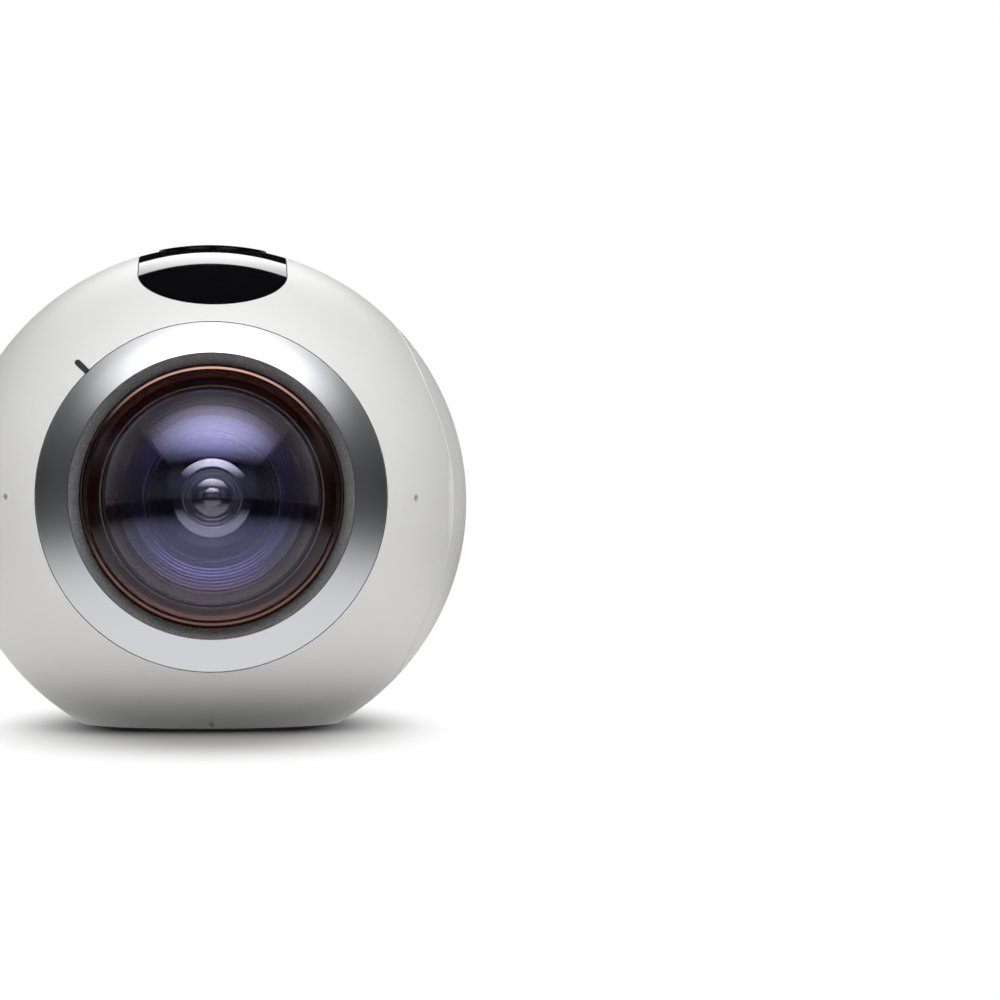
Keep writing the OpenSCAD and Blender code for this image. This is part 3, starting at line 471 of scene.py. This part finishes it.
def plated_metal(name, text, rough):
    """Plated sheet metal: bright, with faint rolling streaks."""
    material, tree, place = new_material(name)
    # The streaks run level, so the noise is squeezed in height
    squeezed = add(tree, "ShaderNodeMapping", {"Vector": place, "Scale": (1.0, 1.0, 12.0)})
    streaks = noise(tree, (squeezed, "Vector"), 2, 3.0)
    return finished(material, {
        "Base Color": linear(text), "Metallic": 1.0,
        "Roughness": ramp(tree, streaks, (0, 1), (rough - 0.06, rough + 0.08))})


def solder_mask():
    """Green solder mask over copper: lighter lines where the tracks run under it."""
    material, tree, place = new_material("solder_mask")
    # Tracks about 0.6 mm apart
    tracks = add(tree, "ShaderNodeTexBrick", {
        "Vector": place, "Scale": 1 / (6 * MM), "Color1": linear("1F4A36"), "Color2": linear("245540"),
        "Mortar": linear("3E7A5C"), "Mortar Size": 0.03, "Brick Width": 0.9, "Row Height": 0.1})
    return finished(material, {"Base Color": (tracks, "Color"), "Roughness": 0.35, "Coat Weight": 0.3})


# Which light reaches the stage


def by_glass_or_metal(tree, path):
    """1 for a ray that a shiny or clear piece sent on its way, 0 for all other light."""
    return calc(tree, "MAXIMUM", (path, "Is Glossy Ray"), (path, "Is Transmission Ray"))


def seen_through(tree, path):
    """1 for a ray that only passed through glass, 0 for one that a piece mirrored on its way."""
    straight = calc(tree, "LESS_THAN", (path, "Glossy Depth"), 0.5)
    return calc(tree, "MULTIPLY", straight, (path, "Is Transmission Ray"))


def along_shell(tree, path, axes):
    """How pale the studio looks to a ray that the dome turned inside its shell: more towards the sides."""
    shell = calc(tree, "LESS_THAN", (path, "Transmission Depth"), 2.5)
    shell = calc(tree, "MULTIPLY", shell, (path, "Is Transmission Ray"))
    beside = ramp(tree, calc(tree, "ABSOLUTE", (axes, "X")), (0.20, 0.70), (0.0, 0.6), smooth=True)
    return calc(tree, "MULTIPLY", shell, beside)


# Operators


class CAMERA360_OT_stage(bpy.types.Operator):
    """Camera, pale floor and soft studio light"""

    bl_idname = "camera360.stage"
    bl_label = "Stage"

    def execute(self, context):
        scene = context.scene
        setup = scene.camera360_stage
        scene.view_settings.view_transform = "Standard"
        self.camera(scene, setup)
        self.world(scene, setup.fill)
        self.floor(scene)
        self.lamps(scene, setup)
        self.walls(scene)
        return {"FINISHED"}

    def camera(self, scene, setup):
        """Camera low in front of the ball, looking past it so that the ball sits on the left."""
        camera = bpy.data.cameras.new("camera")
        camera.lens = setup.focal
        camera.sensor_width = 36.0
        camera.clip_start = 0.01
        viewer = bpy.data.objects.new("camera", camera)
        viewer.location = (0.0, -setup.distance, setup.height)
        viewer.rotation_euler = (math.radians(90) + setup.pitch, 0.0, -setup.yaw)
        scene.collection.objects.link(viewer)
        scene.camera = viewer

    def world(self, scene, fill):
        """White to the eye and in reflections, an even low light on everything else."""
        world = bpy.data.worlds.new("studio")
        world.use_nodes = True
        tree = world.node_tree
        tree.nodes.clear()
        path = add(tree, "ShaderNodeLightPath")
        seen = calc(tree, "MAXIMUM", (path, "Is Camera Ray"), by_glass_or_metal(tree, path))
        soft = add(tree, "ShaderNodeBackground", {"Color": linear("FFFFFF"), "Strength": fill})
        white = add(tree, "ShaderNodeBackground", {"Color": linear("FFFFFF"), "Strength": 1.0})
        mix = add(tree, "ShaderNodeMixShader", {0: seen, 1: (soft, "Background"), 2: (white, "Background")})
        add(tree, "ShaderNodeOutputWorld", {"Surface": (mix, "Shader")})
        scene.world = world

    def scenery(self, scene, name, bm, material):
        """Turn a bmesh into an object of the stage."""
        mesh = bpy.data.meshes.new(name)
        bm.to_mesh(mesh)
        bm.free()
        mesh.materials.append(material)
        obj = bpy.data.objects.new(name, mesh)
        scene.collection.objects.link(obj)
        return obj

    def floor(self, scene):
        """White table that takes the shadow near the ball, partly painted into its colour, and fades to plain
        white further out.
        """
        # Where each change starts and ends, in metres from the middle of the table
        shadow_fade = (0.030, 0.080)
        mirror_fade = (0.040, 0.13)
        painted_shadow_fade = (0.0225, 0.0300)
        painted_shadow_fade_to_eye = (0.008, 0.036)
        material, tree, place = new_material("white_table")
        axes = add(tree, "ShaderNodeSeparateXYZ", {0: place})
        path = add(tree, "ShaderNodeLightPath")
        eye = (path, "Is Camera Ray")
        # The shaded part of the table is narrower than it is deep
        narrow = add(tree, "ShaderNodeMapping", {"Vector": place, "Scale": (2.8, 1.0, 1.0)})
        far = ramp(tree, vector_calc(tree, "LENGTH", (narrow, "Vector")), shadow_fade, smooth=True)
        share = calc(tree, "MAXIMUM", by_glass_or_metal(tree, path), calc(tree, "MULTIPLY", eye, far))
        # Metal and coated glass mirror the table's middle as a painted pool of light, which darkens towards the
        # ends of the studio
        reach = vector_calc(tree, "LENGTH", place)
        painted_light_pool = ramp(tree, reach, mirror_fade, (0.95, 0.03), smooth=True)
        plain = calc(tree, "MAXIMUM", seen_through(tree, path), eye)
        plain = calc(tree, "MAXIMUM", plain, along_shell(tree, path, axes))
        strength = add(tree, "ShaderNodeMix", {"Factor": plain, "A": painted_light_pool, "B": 1.0})
        # Painted shadow: the table is coloured dark right under the ball, so that its underside stays dark, and
        # painted greyer to the eye than otherwise
        dull = ramp(tree, reach, painted_shadow_fade, smooth=True)
        painted_shadow_to_eye = ramp(tree, reach, painted_shadow_fade_to_eye, smooth=True)
        beyond_painted_shadow = add(tree, "ShaderNodeMix", {"Factor": eye, "A": dull, "B": painted_shadow_to_eye})
        # Painted shade: outside the dark middle the table is white to other light and a painted grey to the eye
        bright = mixed(tree, eye, linear("FAF9F7"), linear("A2A19E"))
        tone_with_painted_shadow = mixed(tree, (beyond_painted_shadow, "Result"), linear("2E2D2B"), bright)
        matt = add(tree, "ShaderNodeBsdfDiffuse", {"Color": tone_with_painted_shadow})
        white = add(tree, "ShaderNodeEmission", {"Color": linear("FFFFFF"), "Strength": (strength, "Result")})
        mix = add(tree, "ShaderNodeMixShader", {0: share, 1: (matt, "BSDF"), 2: (white, "Emission")})
        add(tree, "ShaderNodeOutputMaterial", {"Surface": (mix, "Shader")})
        bm = bmesh.new()
        bmesh.ops.create_circle(bm, cap_ends=True, segments=96, radius=3.0)
        floor = self.scenery(scene, "floor", bm, material)

    def lamps(self, scene, setup):
        """A softbox above and in front of the ball, a strip above and behind, side panels and low fills."""
        # Name, power, size, place, turn in degrees, how fast the glow falls off across and along the cloth,
        # and how bright the middle of the cloth is
        lamps = (
            ("top_softbox", setup.top_power, (1.20, 0.60), (0.03, -0.325, 0.525), (14.8, 0), (8, 7), 2.6),
            ("back_strip", setup.strip_power, (1.00, 0.21), (0.0, 0.535, 0.50), (-50, 0), (12, 0), 2.0),
            ("left_panel", setup.side_power, (0.44, 0.54), (-0.70, 0.20, 0.36), (0, -90), (12, 0), 2.0),
            ("right_panel", setup.side_power, (0.44, 0.54), (0.70, 0.20, 0.36), (0, 90), (12, 0), 2.0),
            ("front_fill", setup.front_power, (0.90, 0.30), (0.0, -0.55, 0.16), (90, 0), (4, 4), 1.0),
            ("back_fill", setup.back_power, (0.90, 0.40), (0.0, 0.60, 0.28), (-75, 0), (4, 4), 1.0),
        )
        for name, power, size, place, turn, fall, peak in lamps:
            lamp = bpy.data.lights.new(name, "AREA")
            lamp.shape = "RECTANGLE"
            lamp.size, lamp.size_y = size
            lamp.energy = power
            self.cloth(lamp, fall, peak)
            softbox = bpy.data.objects.new(name, lamp)
            softbox.location = place
            softbox.rotation_euler = (math.radians(turn[0]), math.radians(turn[1]), 0.0)
            softbox.visible_camera = False
            softbox.visible_glossy = not name.endswith("fill")
            scene.collection.objects.link(softbox)

    def cloth(self, lamp, fall, peak):
        """Cloth of a softbox, which is brightest in the middle and falls off towards its edges."""
        lamp.use_nodes = True
        tree = lamp.node_tree
        tree.nodes.clear()
        where = add(tree, "ShaderNodeNewGeometry")
        off = vector_calc(tree, "SUBTRACT", (where, "Parametric"), (0.5, 0.5, 0.0))
        square = vector_calc(tree, "MULTIPLY", off, off)
        fade = vector_calc(tree, "DOT_PRODUCT", square, (-fall[0], -fall[1], 0.0))
        glow = calc(tree, "MULTIPLY", calc(tree, "EXPONENT", fade), peak)
        light = add(tree, "ShaderNodeEmission", {"Color": linear("FFFFFF"), "Strength": glow})
        add(tree, "ShaderNodeOutputLight", {"Surface": (light, "Emission")})

    def walls(self, scene):
        """Dark walls and ceiling round the lamps, which metal and glass mirror and the camera doesn't see, with
        a painted grey reflection low on the front and back walls.
        """
        # Size of the room, and where the painted grey reflection on its cloth changes, in metres
        room_size = Vector((1.56, 1.30, 0.63))
        end_fade = (0.50, 0.64)
        low_fade = (0.12, 0.32)
        aside_fade = (0.06, 0.24)
        painted_reflection_strength = 0.34
        material, tree, place = new_material("black_cloth")
        axes = add(tree, "ShaderNodeSeparateXYZ", {0: place})
        path = add(tree, "ShaderNodeLightPath")
        matt = add(tree, "ShaderNodeBsdfDiffuse", {
            "Color": mixed(tree, noise(tree, place, 2.5), linear("1A1A1C"), linear("222224"))})
        # Painted reflection: low and to both sides on the front and back walls the cloth glows grey, only to
        # rays that metal mirrors, which the bezel rings show
        end = ramp(tree, calc(tree, "ABSOLUTE", (axes, "Y")), end_fade)
        aside = ramp(tree, calc(tree, "ABSOLUTE", (axes, "X")), aside_fade)
        low = ramp(tree, (axes, "Z"), low_fade, (painted_reflection_strength, 0.0))
        grey = calc(tree, "MULTIPLY", calc(tree, "MULTIPLY", end, aside), low)
        metal = calc(tree, "LESS_THAN", (path, "Transmission Depth"), 0.5)
        metal = calc(tree, "MULTIPLY", metal, (path, "Is Glossy Ray"))
        pale = add(tree, "ShaderNodeEmission", {
            "Color": linear("FFFFFF"), "Strength": calc(tree, "MULTIPLY", grey, metal)})
        cloth = add(tree, "ShaderNodeAddShader", {0: (matt, "BSDF"), 1: (pale, "Emission")})
        # A look through the glass, or along the dome's shell, meets the white world behind the cloth
        look = calc(tree, "MAXIMUM", seen_through(tree, path), along_shell(tree, path, axes))
        clear = add(tree, "ShaderNodeBsdfTransparent")
        mix = add(tree, "ShaderNodeMixShader", {0: look, 1: (cloth, "Shader"), 2: (clear, "BSDF")})
        add(tree, "ShaderNodeOutputMaterial", {"Surface": (mix, "Shader")})
        bm = bmesh.new()
        bmesh.ops.create_cube(bm, size=1.0)
        bmesh.ops.scale(bm, vec=room_size, verts=bm.verts[:])
        bmesh.ops.translate(bm, vec=(0.0, 0.0, room_size.z / 2), verts=bm.verts[:])
        under = [f for f in bm.faces if f.normal.z < -0.5]
        bmesh.ops.delete(bm, geom=under, context="FACES_ONLY")
        room = self.scenery(scene, "dark_studio", bm, material)
        room.visible_camera = False


class CAMERA360_OT_housing(bpy.types.Operator):
    """White housing halves"""

    bl_idname = "camera360.housing"
    bl_label = "Housing"

    def execute(self, context):
        white = moulded_white_abs(tuple(context.scene.camera360_finishes.housing))
        dress(white, "front_housing", "rear_housing", "battery_door", "menu_button", "power_button")
        dress(moulded_plastic("smoked_light_pipe", "3A3A3C", 0.3), "front_light_guide", "rear_light_guide")
        return {"FINISHED"}


class CAMERA360_OT_bezels(bpy.types.Operator):
    """Silver bezel rings and the dark textured rings inside them"""

    bl_idname = "camera360.bezels"
    bl_label = "Bezels"

    def execute(self, context):
        sizes = context.scene.camera360_sizes
        colours = context.scene.camera360_finishes
        satin = blasted_aluminium(tuple(colours.bezel))
        bright = diamond_cut_rim()
        rough = textured_graphite(tuple(colours.retainer))
        inner = sizes.bezel_inner_r / MM
        for end, side in SIDES:
            self.bezel(end + "_bezel_ring", side, inner, sizes.bezel_edge / MM, satin, bright)
            self.retainer(end + "_retainer_ring", side, inner, rough)
        return {"FINISHED"}

    def bezel(self, node, side, inner, edge, satin, bright):
        """Conical ring with a slight crown, flush with the ball, and a bright chamfer along its outer rim."""
        r, seat, top = span(node)
        outer = r + 0.06
        sunk = 0.04
        crown = 0.10
        chamfer = 3 * edge
        rim = math.sqrt((BALL_R / MM) ** 2 - outer ** 2) - sunk
        slope = []
        for share in (0.25, 0.5, 0.75):
            bulge = 4 * crown * share * (1 - share)
            slope.append((inner + (outer - inner) * share, top + (rim - top) * share + bulge))
        ring = spun(node + "_turned", side, [
            (inner, seat), (inner, top - edge), (inner + edge, top), *slope, (outer - edge, rim),
            (outer, rim - chamfer), (outer, seat)],
            [satin, bright], steps=240, nodes=[node], sharp=20)
        for face, reach, a in turned_faces(ring):
            if reach > outer - edge and a > rim - chamfer:
                face.material_index = 1

    def retainer(self, node, side, inner, rough):
        """Ring that slopes down from the bezel to the dome, over the dome's seal."""
        base, top = span(node)[1:]
        outer = inner - 0.02
        width = 1.2
        slope = 0.8
        skirt = 0.45
        room = 0.7
        spun(node + "_turned", side, [
            (outer - width, base + room), (outer - width, top - slope, 0.08), (outer, top, 0.06),
            (outer, base), (outer - skirt, base), (outer - skirt, base + room)],
            [rough], steps=200, nodes=[node])


class CAMERA360_OT_lenses(bpy.types.Operator):
    """Dome, second lens, inner group, copper-brown seat and ridged barrel of both lenses"""

    bl_idname = "camera360.lenses"
    bl_label = "Lenses"

    def execute(self, context):
        sizes = context.scene.camera360_sizes
        colours = context.scene.camera360_finishes
        dome = [coated_dome_glass("coated_dome_glass", linear("B8B5CC")),
                bronzed_brass(linear("6E3C2E"), "brown_edge_lacquer"),
                bronzed_brass(linear("84655A"), "copper_edge_line", 1.0),
                coated_dome_glass("broadband_coated_hollow", linear("7C78A0"))]
        second = [coated_lens_glass(tuple(colours.coating)),
                  moulded_plastic("ground_glass_bevel", "958F97", 0.35, 0.2)]
        stack = lens_stack_glass(linear("F0F1FF"))
        pupil = pupil_glass()
        brass = bronzed_brass(tuple(colours.seat))
        barrel = [black_anodised(), baffle_painted_coating_tint()]
        for end, side in SIDES:
            self.dome(end + "_dome_lens", side, sizes, dome)
            self.second(end + "_second_lens", side, sizes, second)
            self.inner(end, side, sizes.inner_curve / MM, stack, pupil)
            self.seat(end + "_lens_seat", side, brass)
            self.barrel(end + "_lens_barrel", side, sizes.ridge_pitch / MM, barrel)
        return {"FINISHED"}

    def dome(self, node, side, sizes, materials):
        """Thick meniscus of glass, with a bright line and brown lacquer on its ground edge."""
        r, base, top = span(node)
        curve = sizes.dome_curve / MM
        hollow = sizes.dome_hollow / MM
        middle = top - curve
        inside = top - sizes.dome_middle / MM - hollow
        # Widths and drops of the ground edge, of its line and bevel, and of the chamfer at the base
        edge_w = 0.42
        line_drop = 0.14
        bevel_w = 0.18
        bevel_drop = 0.45
        chamfer_w = 0.45
        chamfer_h = 0.9
        edge_r = r - edge_w
        rim = math.degrees(math.asin(edge_r / curve))
        line_a = middle + math.sqrt(curve ** 2 - edge_r ** 2) - line_drop
        base_r = math.sqrt(hollow ** 2 - (base - inside) ** 2)
        mouth = math.degrees(math.asin(base_r / hollow))
        dome = spun(node + "_glass", side, [
            (0, top), ("arc", middle, rim), (r - bevel_w, line_a), (r, line_a - bevel_drop),
            (r, base + chamfer_h), (r - chamfer_w, base), (base_r, base), ("arc", inside, -mouth)],
            materials, steps=160, nodes=[node], sharp=25)
        for face, reach, a in turned_faces(dome):
            if math.hypot(reach, a - inside) < hollow + NEAR:
                face.material_index = 3
            elif reach > edge_r + NEAR:
                face.material_index = 2 if a > line_a else 1

    def second(self, node, side, sizes, materials):
        """Meniscus that nests in the dome, with a ground bevel along its rim."""
        r = sizes.second_r / MM
        base, top = span(node)[1:]
        base += 0.1
        curve = sizes.second_curve / MM
        hollow = sizes.second_hollow / MM
        inner_r = r - sizes.second_rim / MM
        bevel_w = 0.22
        bevel_drop = 0.24
        middle = top - curve
        inside = base - math.sqrt(hollow ** 2 - inner_r ** 2)
        bevel_r = r - bevel_w
        rim = math.degrees(math.asin(bevel_r / curve))
        bevel_a = middle + math.sqrt(curve ** 2 - bevel_r ** 2) - bevel_drop
        mouth = math.degrees(math.asin(inner_r / hollow))
        lens = spun(node + "_glass", side, [
            (0, top), ("arc", middle, rim), (r, bevel_a), (r, base), (inner_r, base),
            ("arc", inside, -mouth)],
            materials, steps=140, nodes=[node])
        for face, reach, a in turned_faces(lens):
            if reach > bevel_r + NEAR and a > bevel_a:
                face.material_index = 1

    def inner(self, end, side, curve, stack, pupil):
        """Inner group: a ring of curved glass, fine steps and a small bulging pupil with a bead on it."""
        node = end + "_inner_lens"
        r, base, top = span(node)
        middle = top - curve
        rim = math.degrees(math.asin(r / curve))
        edge_a = middle + math.sqrt(curve ** 2 - r ** 2)
        edge_h = 0.6
        back_a = base + 1.0
        # Inner edge of the curved ring
        ring_r = 3.4
        ring_a = middle + math.sqrt(curve ** 2 - ring_r ** 2)
        turn = math.degrees(math.asin(ring_r / curve))
        # Steps inside that edge: how far in and how far down each corner lies, and its rounding
        steps = (
            (0.08, 0.30), (0.28, 0.34), (0.36, 0.16, 0.05), (0.50, 0.16, 0.05), (0.58, 0.40),
            (0.70, 0.44), (0.78, 0.24, 0.05), (0.96, 0.24, 0.05), (1.06, 0.55), (1.30, 0.62))
        stairs = [(ring_r - step[0], ring_a - step[1], *step[2:]) for step in steps]
        spun(node + "_group", side, [
            (0, back_a), (r, edge_a - edge_h), (r, edge_a), ("arc", middle, turn - rim), *stairs,
            (0, stairs[-1][1])],
            [stack], steps=140, nodes=[node])
        pupil_curve = 4.4
        pupil_r = ring_r - 1.1
        pupil_a = ring_a - 0.60
        skirt_a = pupil_a - 0.1
        apex = pupil_a + pupil_curve - math.sqrt(pupil_curve ** 2 - pupil_r ** 2)
        bow = math.degrees(math.asin(pupil_r / pupil_curve))
        spun(end + "_pupil", side, [
            (0, apex), ("arc", apex - pupil_curve, bow), (pupil_r, skirt_a), (0, skirt_a)],
            [pupil], steps=96)
        bead_curve = 1.9
        bead_r = 1.1
        crown = apex + 0.42
        root = crown - 0.7
        dip = math.degrees(math.asin(bead_r / bead_curve))
        spun(end + "_pupil_bead", side, [(0, crown), ("arc", crown - bead_curve, dip), (0, root)],
             [pupil], steps=64)

    def seat(self, node, side, brass):
        """Bronzed ring under the dome's rim, with a rounded bead."""
        r, base, top = span(node)
        shelf = top - 0.5
        bead_top = top - 0.02
        bead_round = 0.42
        inner_r = r - 1.9
        bead_in = r - 1.1
        bead_out = r - 0.2
        spun(node + "_turned", side, [
            (inner_r, base), (inner_r, shelf, 0.06), (bead_in, shelf), (bead_in, bead_top, bead_round),
            (bead_out, bead_top, bead_round), (bead_out, shelf), (r, shelf), (r, base)],
            [brass], steps=160, nodes=[node])

    def barrel(self, node, side, pitch, materials):
        """Stepped barrel with light-trap ridges on the faces that show through the glass."""
        # Radii, from the outside in, and distances from the ball's middle, from the front, in millimetres
        flange_r = 18.9
        collar_r = 15.65
        pocket_r = 14.45
        tube_r = 12.5
        well_r = 12.1
        shelf_r = 10.45
        sensor_r = 7.288
        mouth_r = 7.2
        throat_r = 6.85
        bore_r = 5.6
        front = 22.5
        well_a = 20.9
        shelf_a = 20.8
        mouth_a = 19.0
        flange_top = 18.85
        throat_top = 18.65
        flange_a = 17.3
        throat_a = 17.0
        bore_top = 16.3
        bore_a = 14.1
        sensor_top = 13.5
        back = 11.6
        # Plain margin that the ridges keep at the ends of their faces
        margin = 0.05
        barrel = spun(node + "_turned", side, [
            (sensor_r, back), (tube_r, back), (tube_r, flange_a), (flange_r, flange_a),
            (flange_r, flange_top), (collar_r, flange_top), (collar_r, front), (pocket_r, front),
            (pocket_r, well_a), (well_r, well_a), *self.ridges(well_r, shelf_r + margin, well_a, pitch),
            (shelf_r, well_a), (shelf_r, shelf_a),
            *self.ridges(shelf_r - margin, mouth_r + margin, shelf_a, pitch),
            (mouth_r, shelf_a), (mouth_r, mouth_a), (throat_r, throat_top), (throat_r, throat_a),
            (bore_r, bore_top), (bore_r, bore_a), (sensor_r, sensor_top)],
            materials, steps=160, nodes=[node], sharp=20)
        for face, reach, a in turned_faces(barrel):
            if mouth_r < reach < well_r and a > shelf_a - pitch:
                face.material_index = 1

    def ridges(self, outer, inner, level, pitch):
        """Saw-tooth stretch of a profile, from one radius in towards another."""
        depth = 0.35 * pitch
        points = []
        for i in range(int((outer - inner) / pitch)):
            r = outer - i * pitch
            points += [(r - pitch / 2, level - depth), (r - pitch, level)]
        return points


class CAMERA360_OT_top_panel(bpy.types.Operator):
    """Glossy black panel and the OK button"""

    bl_idname = "camera360.top_panel"
    bl_label = "Top panel"

    def execute(self, context):
        gloss = black_panel_gloss(tuple(context.scene.camera360_finishes.panel))
        dress(gloss, "display_window", "ok_button", "display_module")
        return {"FINISHED"}


class CAMERA360_OT_door_side(bpy.types.Operator):
    """Battery door's inner pieces, battery, card and ports"""

    bl_idname = "camera360.door_side"
    bl_label = "Door side"

    def execute(self, context):
        rubber = moulded_plastic("black_rubber", "1B1B1D", 0.7)
        dress(rubber, "door_seal", "front_dome_seal", "rear_dome_seal")
        self.strap(rubber)
        dress(moulded_plastic("grey_glass_filled_nylon", "4B4C50", 0.5), "battery_bay", "door_inner_plate")
        dress(moulded_plastic("battery_sleeve", "2B2C30", 0.45, 1.2), "battery")
        dress(moulded_plastic("latch_acetal", "C8612B", 0.4), "battery_latch")
        dress(moulded_plastic("card_epoxy", "18181A", 0.5), "memory_card")
        dress(plated_metal("gold_plating", "D9B46A", 0.25), "battery_contacts")
        nickel = plated_metal("nickel_plating", "B9BABC", 0.3)
        dress(nickel, "memory_card_reader", "usb_port", "side_switches", "ok_switch")
        dress(moulded_plastic("microphone_mesh", "1E1E20", 0.6, 0.2), "microphones")
        self.lip(context.scene.camera360_sizes.door_lip, NODES["battery_door"].data.materials[0])
        return {"FINISHED"}

    def strap(self, rubber):
        """Rubber strap under the door's rear edge, cut across into short lengths and left on no body."""
        low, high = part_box("door_strap")
        bm = bmesh.new()
        bm.from_mesh(NODES["door_strap"].data)
        bmesh.ops.remove_doubles(bm, verts=bm.verts[:], dist=0.002 * MM)
        # Cuts across the strap, so that it turns in small steps
        cuts = 16
        for i in range(1, cuts):
            place = low.lerp(high, i / cuts)
            bmesh.ops.bisect_plane(bm, geom=bm.verts[:] + bm.edges[:] + bm.faces[:], plane_co=place,
                                   plane_no=(0, 1, 0))
        strap = piece("door_strap_bending", bm, [rubber], ["door_strap"], body=None)
        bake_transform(strap)

    def lip(self, width, white):
        """Thin lip on the door that leaves only a fine line round it."""
        low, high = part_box("battery_door")
        half = (high.y - low.y) / 2
        rise = (high.z - low.z) / 2 - half
        top = BALL_R - 0.07 * MM
        base = BALL_R - 0.70 * MM
        outer = half + width
        inner = half - 0.02 * MM
        segments = 96
        # Each circle is turned by half a segment, so that it has an upright edge on either side
        upright = Matrix.Rotation(math.radians(90), 4, "Y") @ Matrix.Rotation(math.pi / segments, 4, "Z")
        bm = bmesh.new()
        # Four pill-shaped loops, each first drawn flat at the radius of its ball
        corners = ((outer, base), (outer, top), (inner, top), (inner, base))
        for r, ball in corners:
            bmesh.ops.create_circle(bm, segments=segments, radius=r,
                                    matrix=Matrix.Translation((ball, 0, 0)) @ upright)
        for vert in bm.verts:
            vert.co.z += math.copysign(rise, vert.co.z)
        tall = [edge for edge in bm.edges if edge.calc_length() > rise]
        bmesh.ops.subdivide_edges(bm, edges=tall, cuts=24)
        loops = [[] for corner in corners]
        for edge in bm.edges:
            middle = (edge.verts[0].co + edge.verts[1].co) / 2
            reach = math.hypot(middle.y, max(abs(middle.z) - rise, 0.0))
            misses = [abs(r - reach) + abs(ball - middle.x) for r, ball in corners]
            loops[misses.index(min(misses))].append(edge)
        for i in range(len(loops)):
            bmesh.ops.bridge_loops(bm, edges=loops[i] + loops[(i + 1) % len(loops)])
        # The flat loops are laid on their balls
        for vert in bm.verts:
            vert.co.x = math.sqrt(vert.co.x ** 2 - vert.co.y ** 2 - vert.co.z ** 2)
            vert.co += CENTRE
        piece("door_lip", bm, [white], body="door")


class CAMERA360_OT_foot(bpy.types.Operator):
    """Rubber foot, tripod socket and screws"""

    bl_idname = "camera360.foot"
    bl_label = "Foot"

    def execute(self, context):
        dress(moulded_plastic("foot_rubber", "232325", 0.75, 0.5), "foot_ring")
        steel = plated_metal("zinc_plated_steel", "B4B5B8", 0.3)
        dress(steel, "tripod_socket", "housing_screws", "front_lens_screws", "rear_lens_screws")
        return {"FINISHED"}


class CAMERA360_OT_inner_parts(bpy.types.Operator):
    """Boards, sensors and other pieces inside the ball"""

    bl_idname = "camera360.inner_parts"
    bl_label = "Inner parts"

    def execute(self, context):
        dress(solder_mask(), "main_board", "top_board", "side_switch_board", "front_sensor_board",
              "rear_sensor_board")
        dress(moulded_plastic("polyimide_film", "B0762F", 0.35), "front_sensor_flex", "rear_sensor_flex")
        dress(moulded_plastic("sensor_ceramic", "1D1D22", 0.3), "front_image_sensor", "rear_image_sensor")
        dress(plated_metal("tinned_shield", "C2C3C6", 0.35), "processor_shield")
        dress(moulded_plastic("chassis_nylon", "3E3F43", 0.55), "chassis_base")
        dress(moulded_plastic("speaker_basket", "232326", 0.5), "speaker")
        return {"FINISHED"}


class CAMERA360_PT_panel(bpy.types.Panel):
    """Lists the dressing steps and their settings"""

    bl_label = "360 degree camera"
    bl_idname = "CAMERA360_PT_panel"
    bl_space_type = "VIEW_3D"
    bl_region_type = "UI"
    bl_category = "Camera 360"

    def draw(self, context):
        for step in STEPS:
            self.layout.operator(step.bl_idname)
        scene = context.scene
        for group in (scene.camera360_finishes, scene.camera360_sizes, scene.camera360_stage):
            box = self.layout.box()
            for name in group.bl_rna.properties.keys():
                if name not in ("rna_type", "name"):
                    box.prop(group, name)


STEPS = (
    CAMERA360_OT_stage,
    CAMERA360_OT_housing,
    CAMERA360_OT_bezels,
    CAMERA360_OT_lenses,
    CAMERA360_OT_top_panel,
    CAMERA360_OT_door_side,
    CAMERA360_OT_foot,
    CAMERA360_OT_inner_parts,
)
GROUPS = (CAMERA360_PG_finishes, CAMERA360_PG_sizes, CAMERA360_PG_stage)


def register():
    for cls in GROUPS + STEPS + (CAMERA360_PT_panel,):
        bpy.utils.register_class(cls)
    bpy.types.Scene.camera360_finishes = bpy.props.PointerProperty(type=CAMERA360_PG_finishes)
    bpy.types.Scene.camera360_sizes = bpy.props.PointerProperty(type=CAMERA360_PG_sizes)
    bpy.types.Scene.camera360_stage = bpy.props.PointerProperty(type=CAMERA360_PG_stage)


def unregister():
    del bpy.types.Scene.camera360_stage
    del bpy.types.Scene.camera360_sizes
    del bpy.types.Scene.camera360_finishes
    for cls in reversed(GROUPS + STEPS + (CAMERA360_PT_panel,)):
        bpy.utils.unregister_class(cls)


def main():
    """Run every step."""
    register()
    bpy.ops.camera360.stage()
    bpy.ops.camera360.housing()
    bpy.ops.camera360.bezels()
    bpy.ops.camera360.lenses()
    bpy.ops.camera360.top_panel()
    bpy.ops.camera360.door_side()
    bpy.ops.camera360.foot()
    bpy.ops.camera360.inner_parts()


if __name__ == "__main__":
    main()
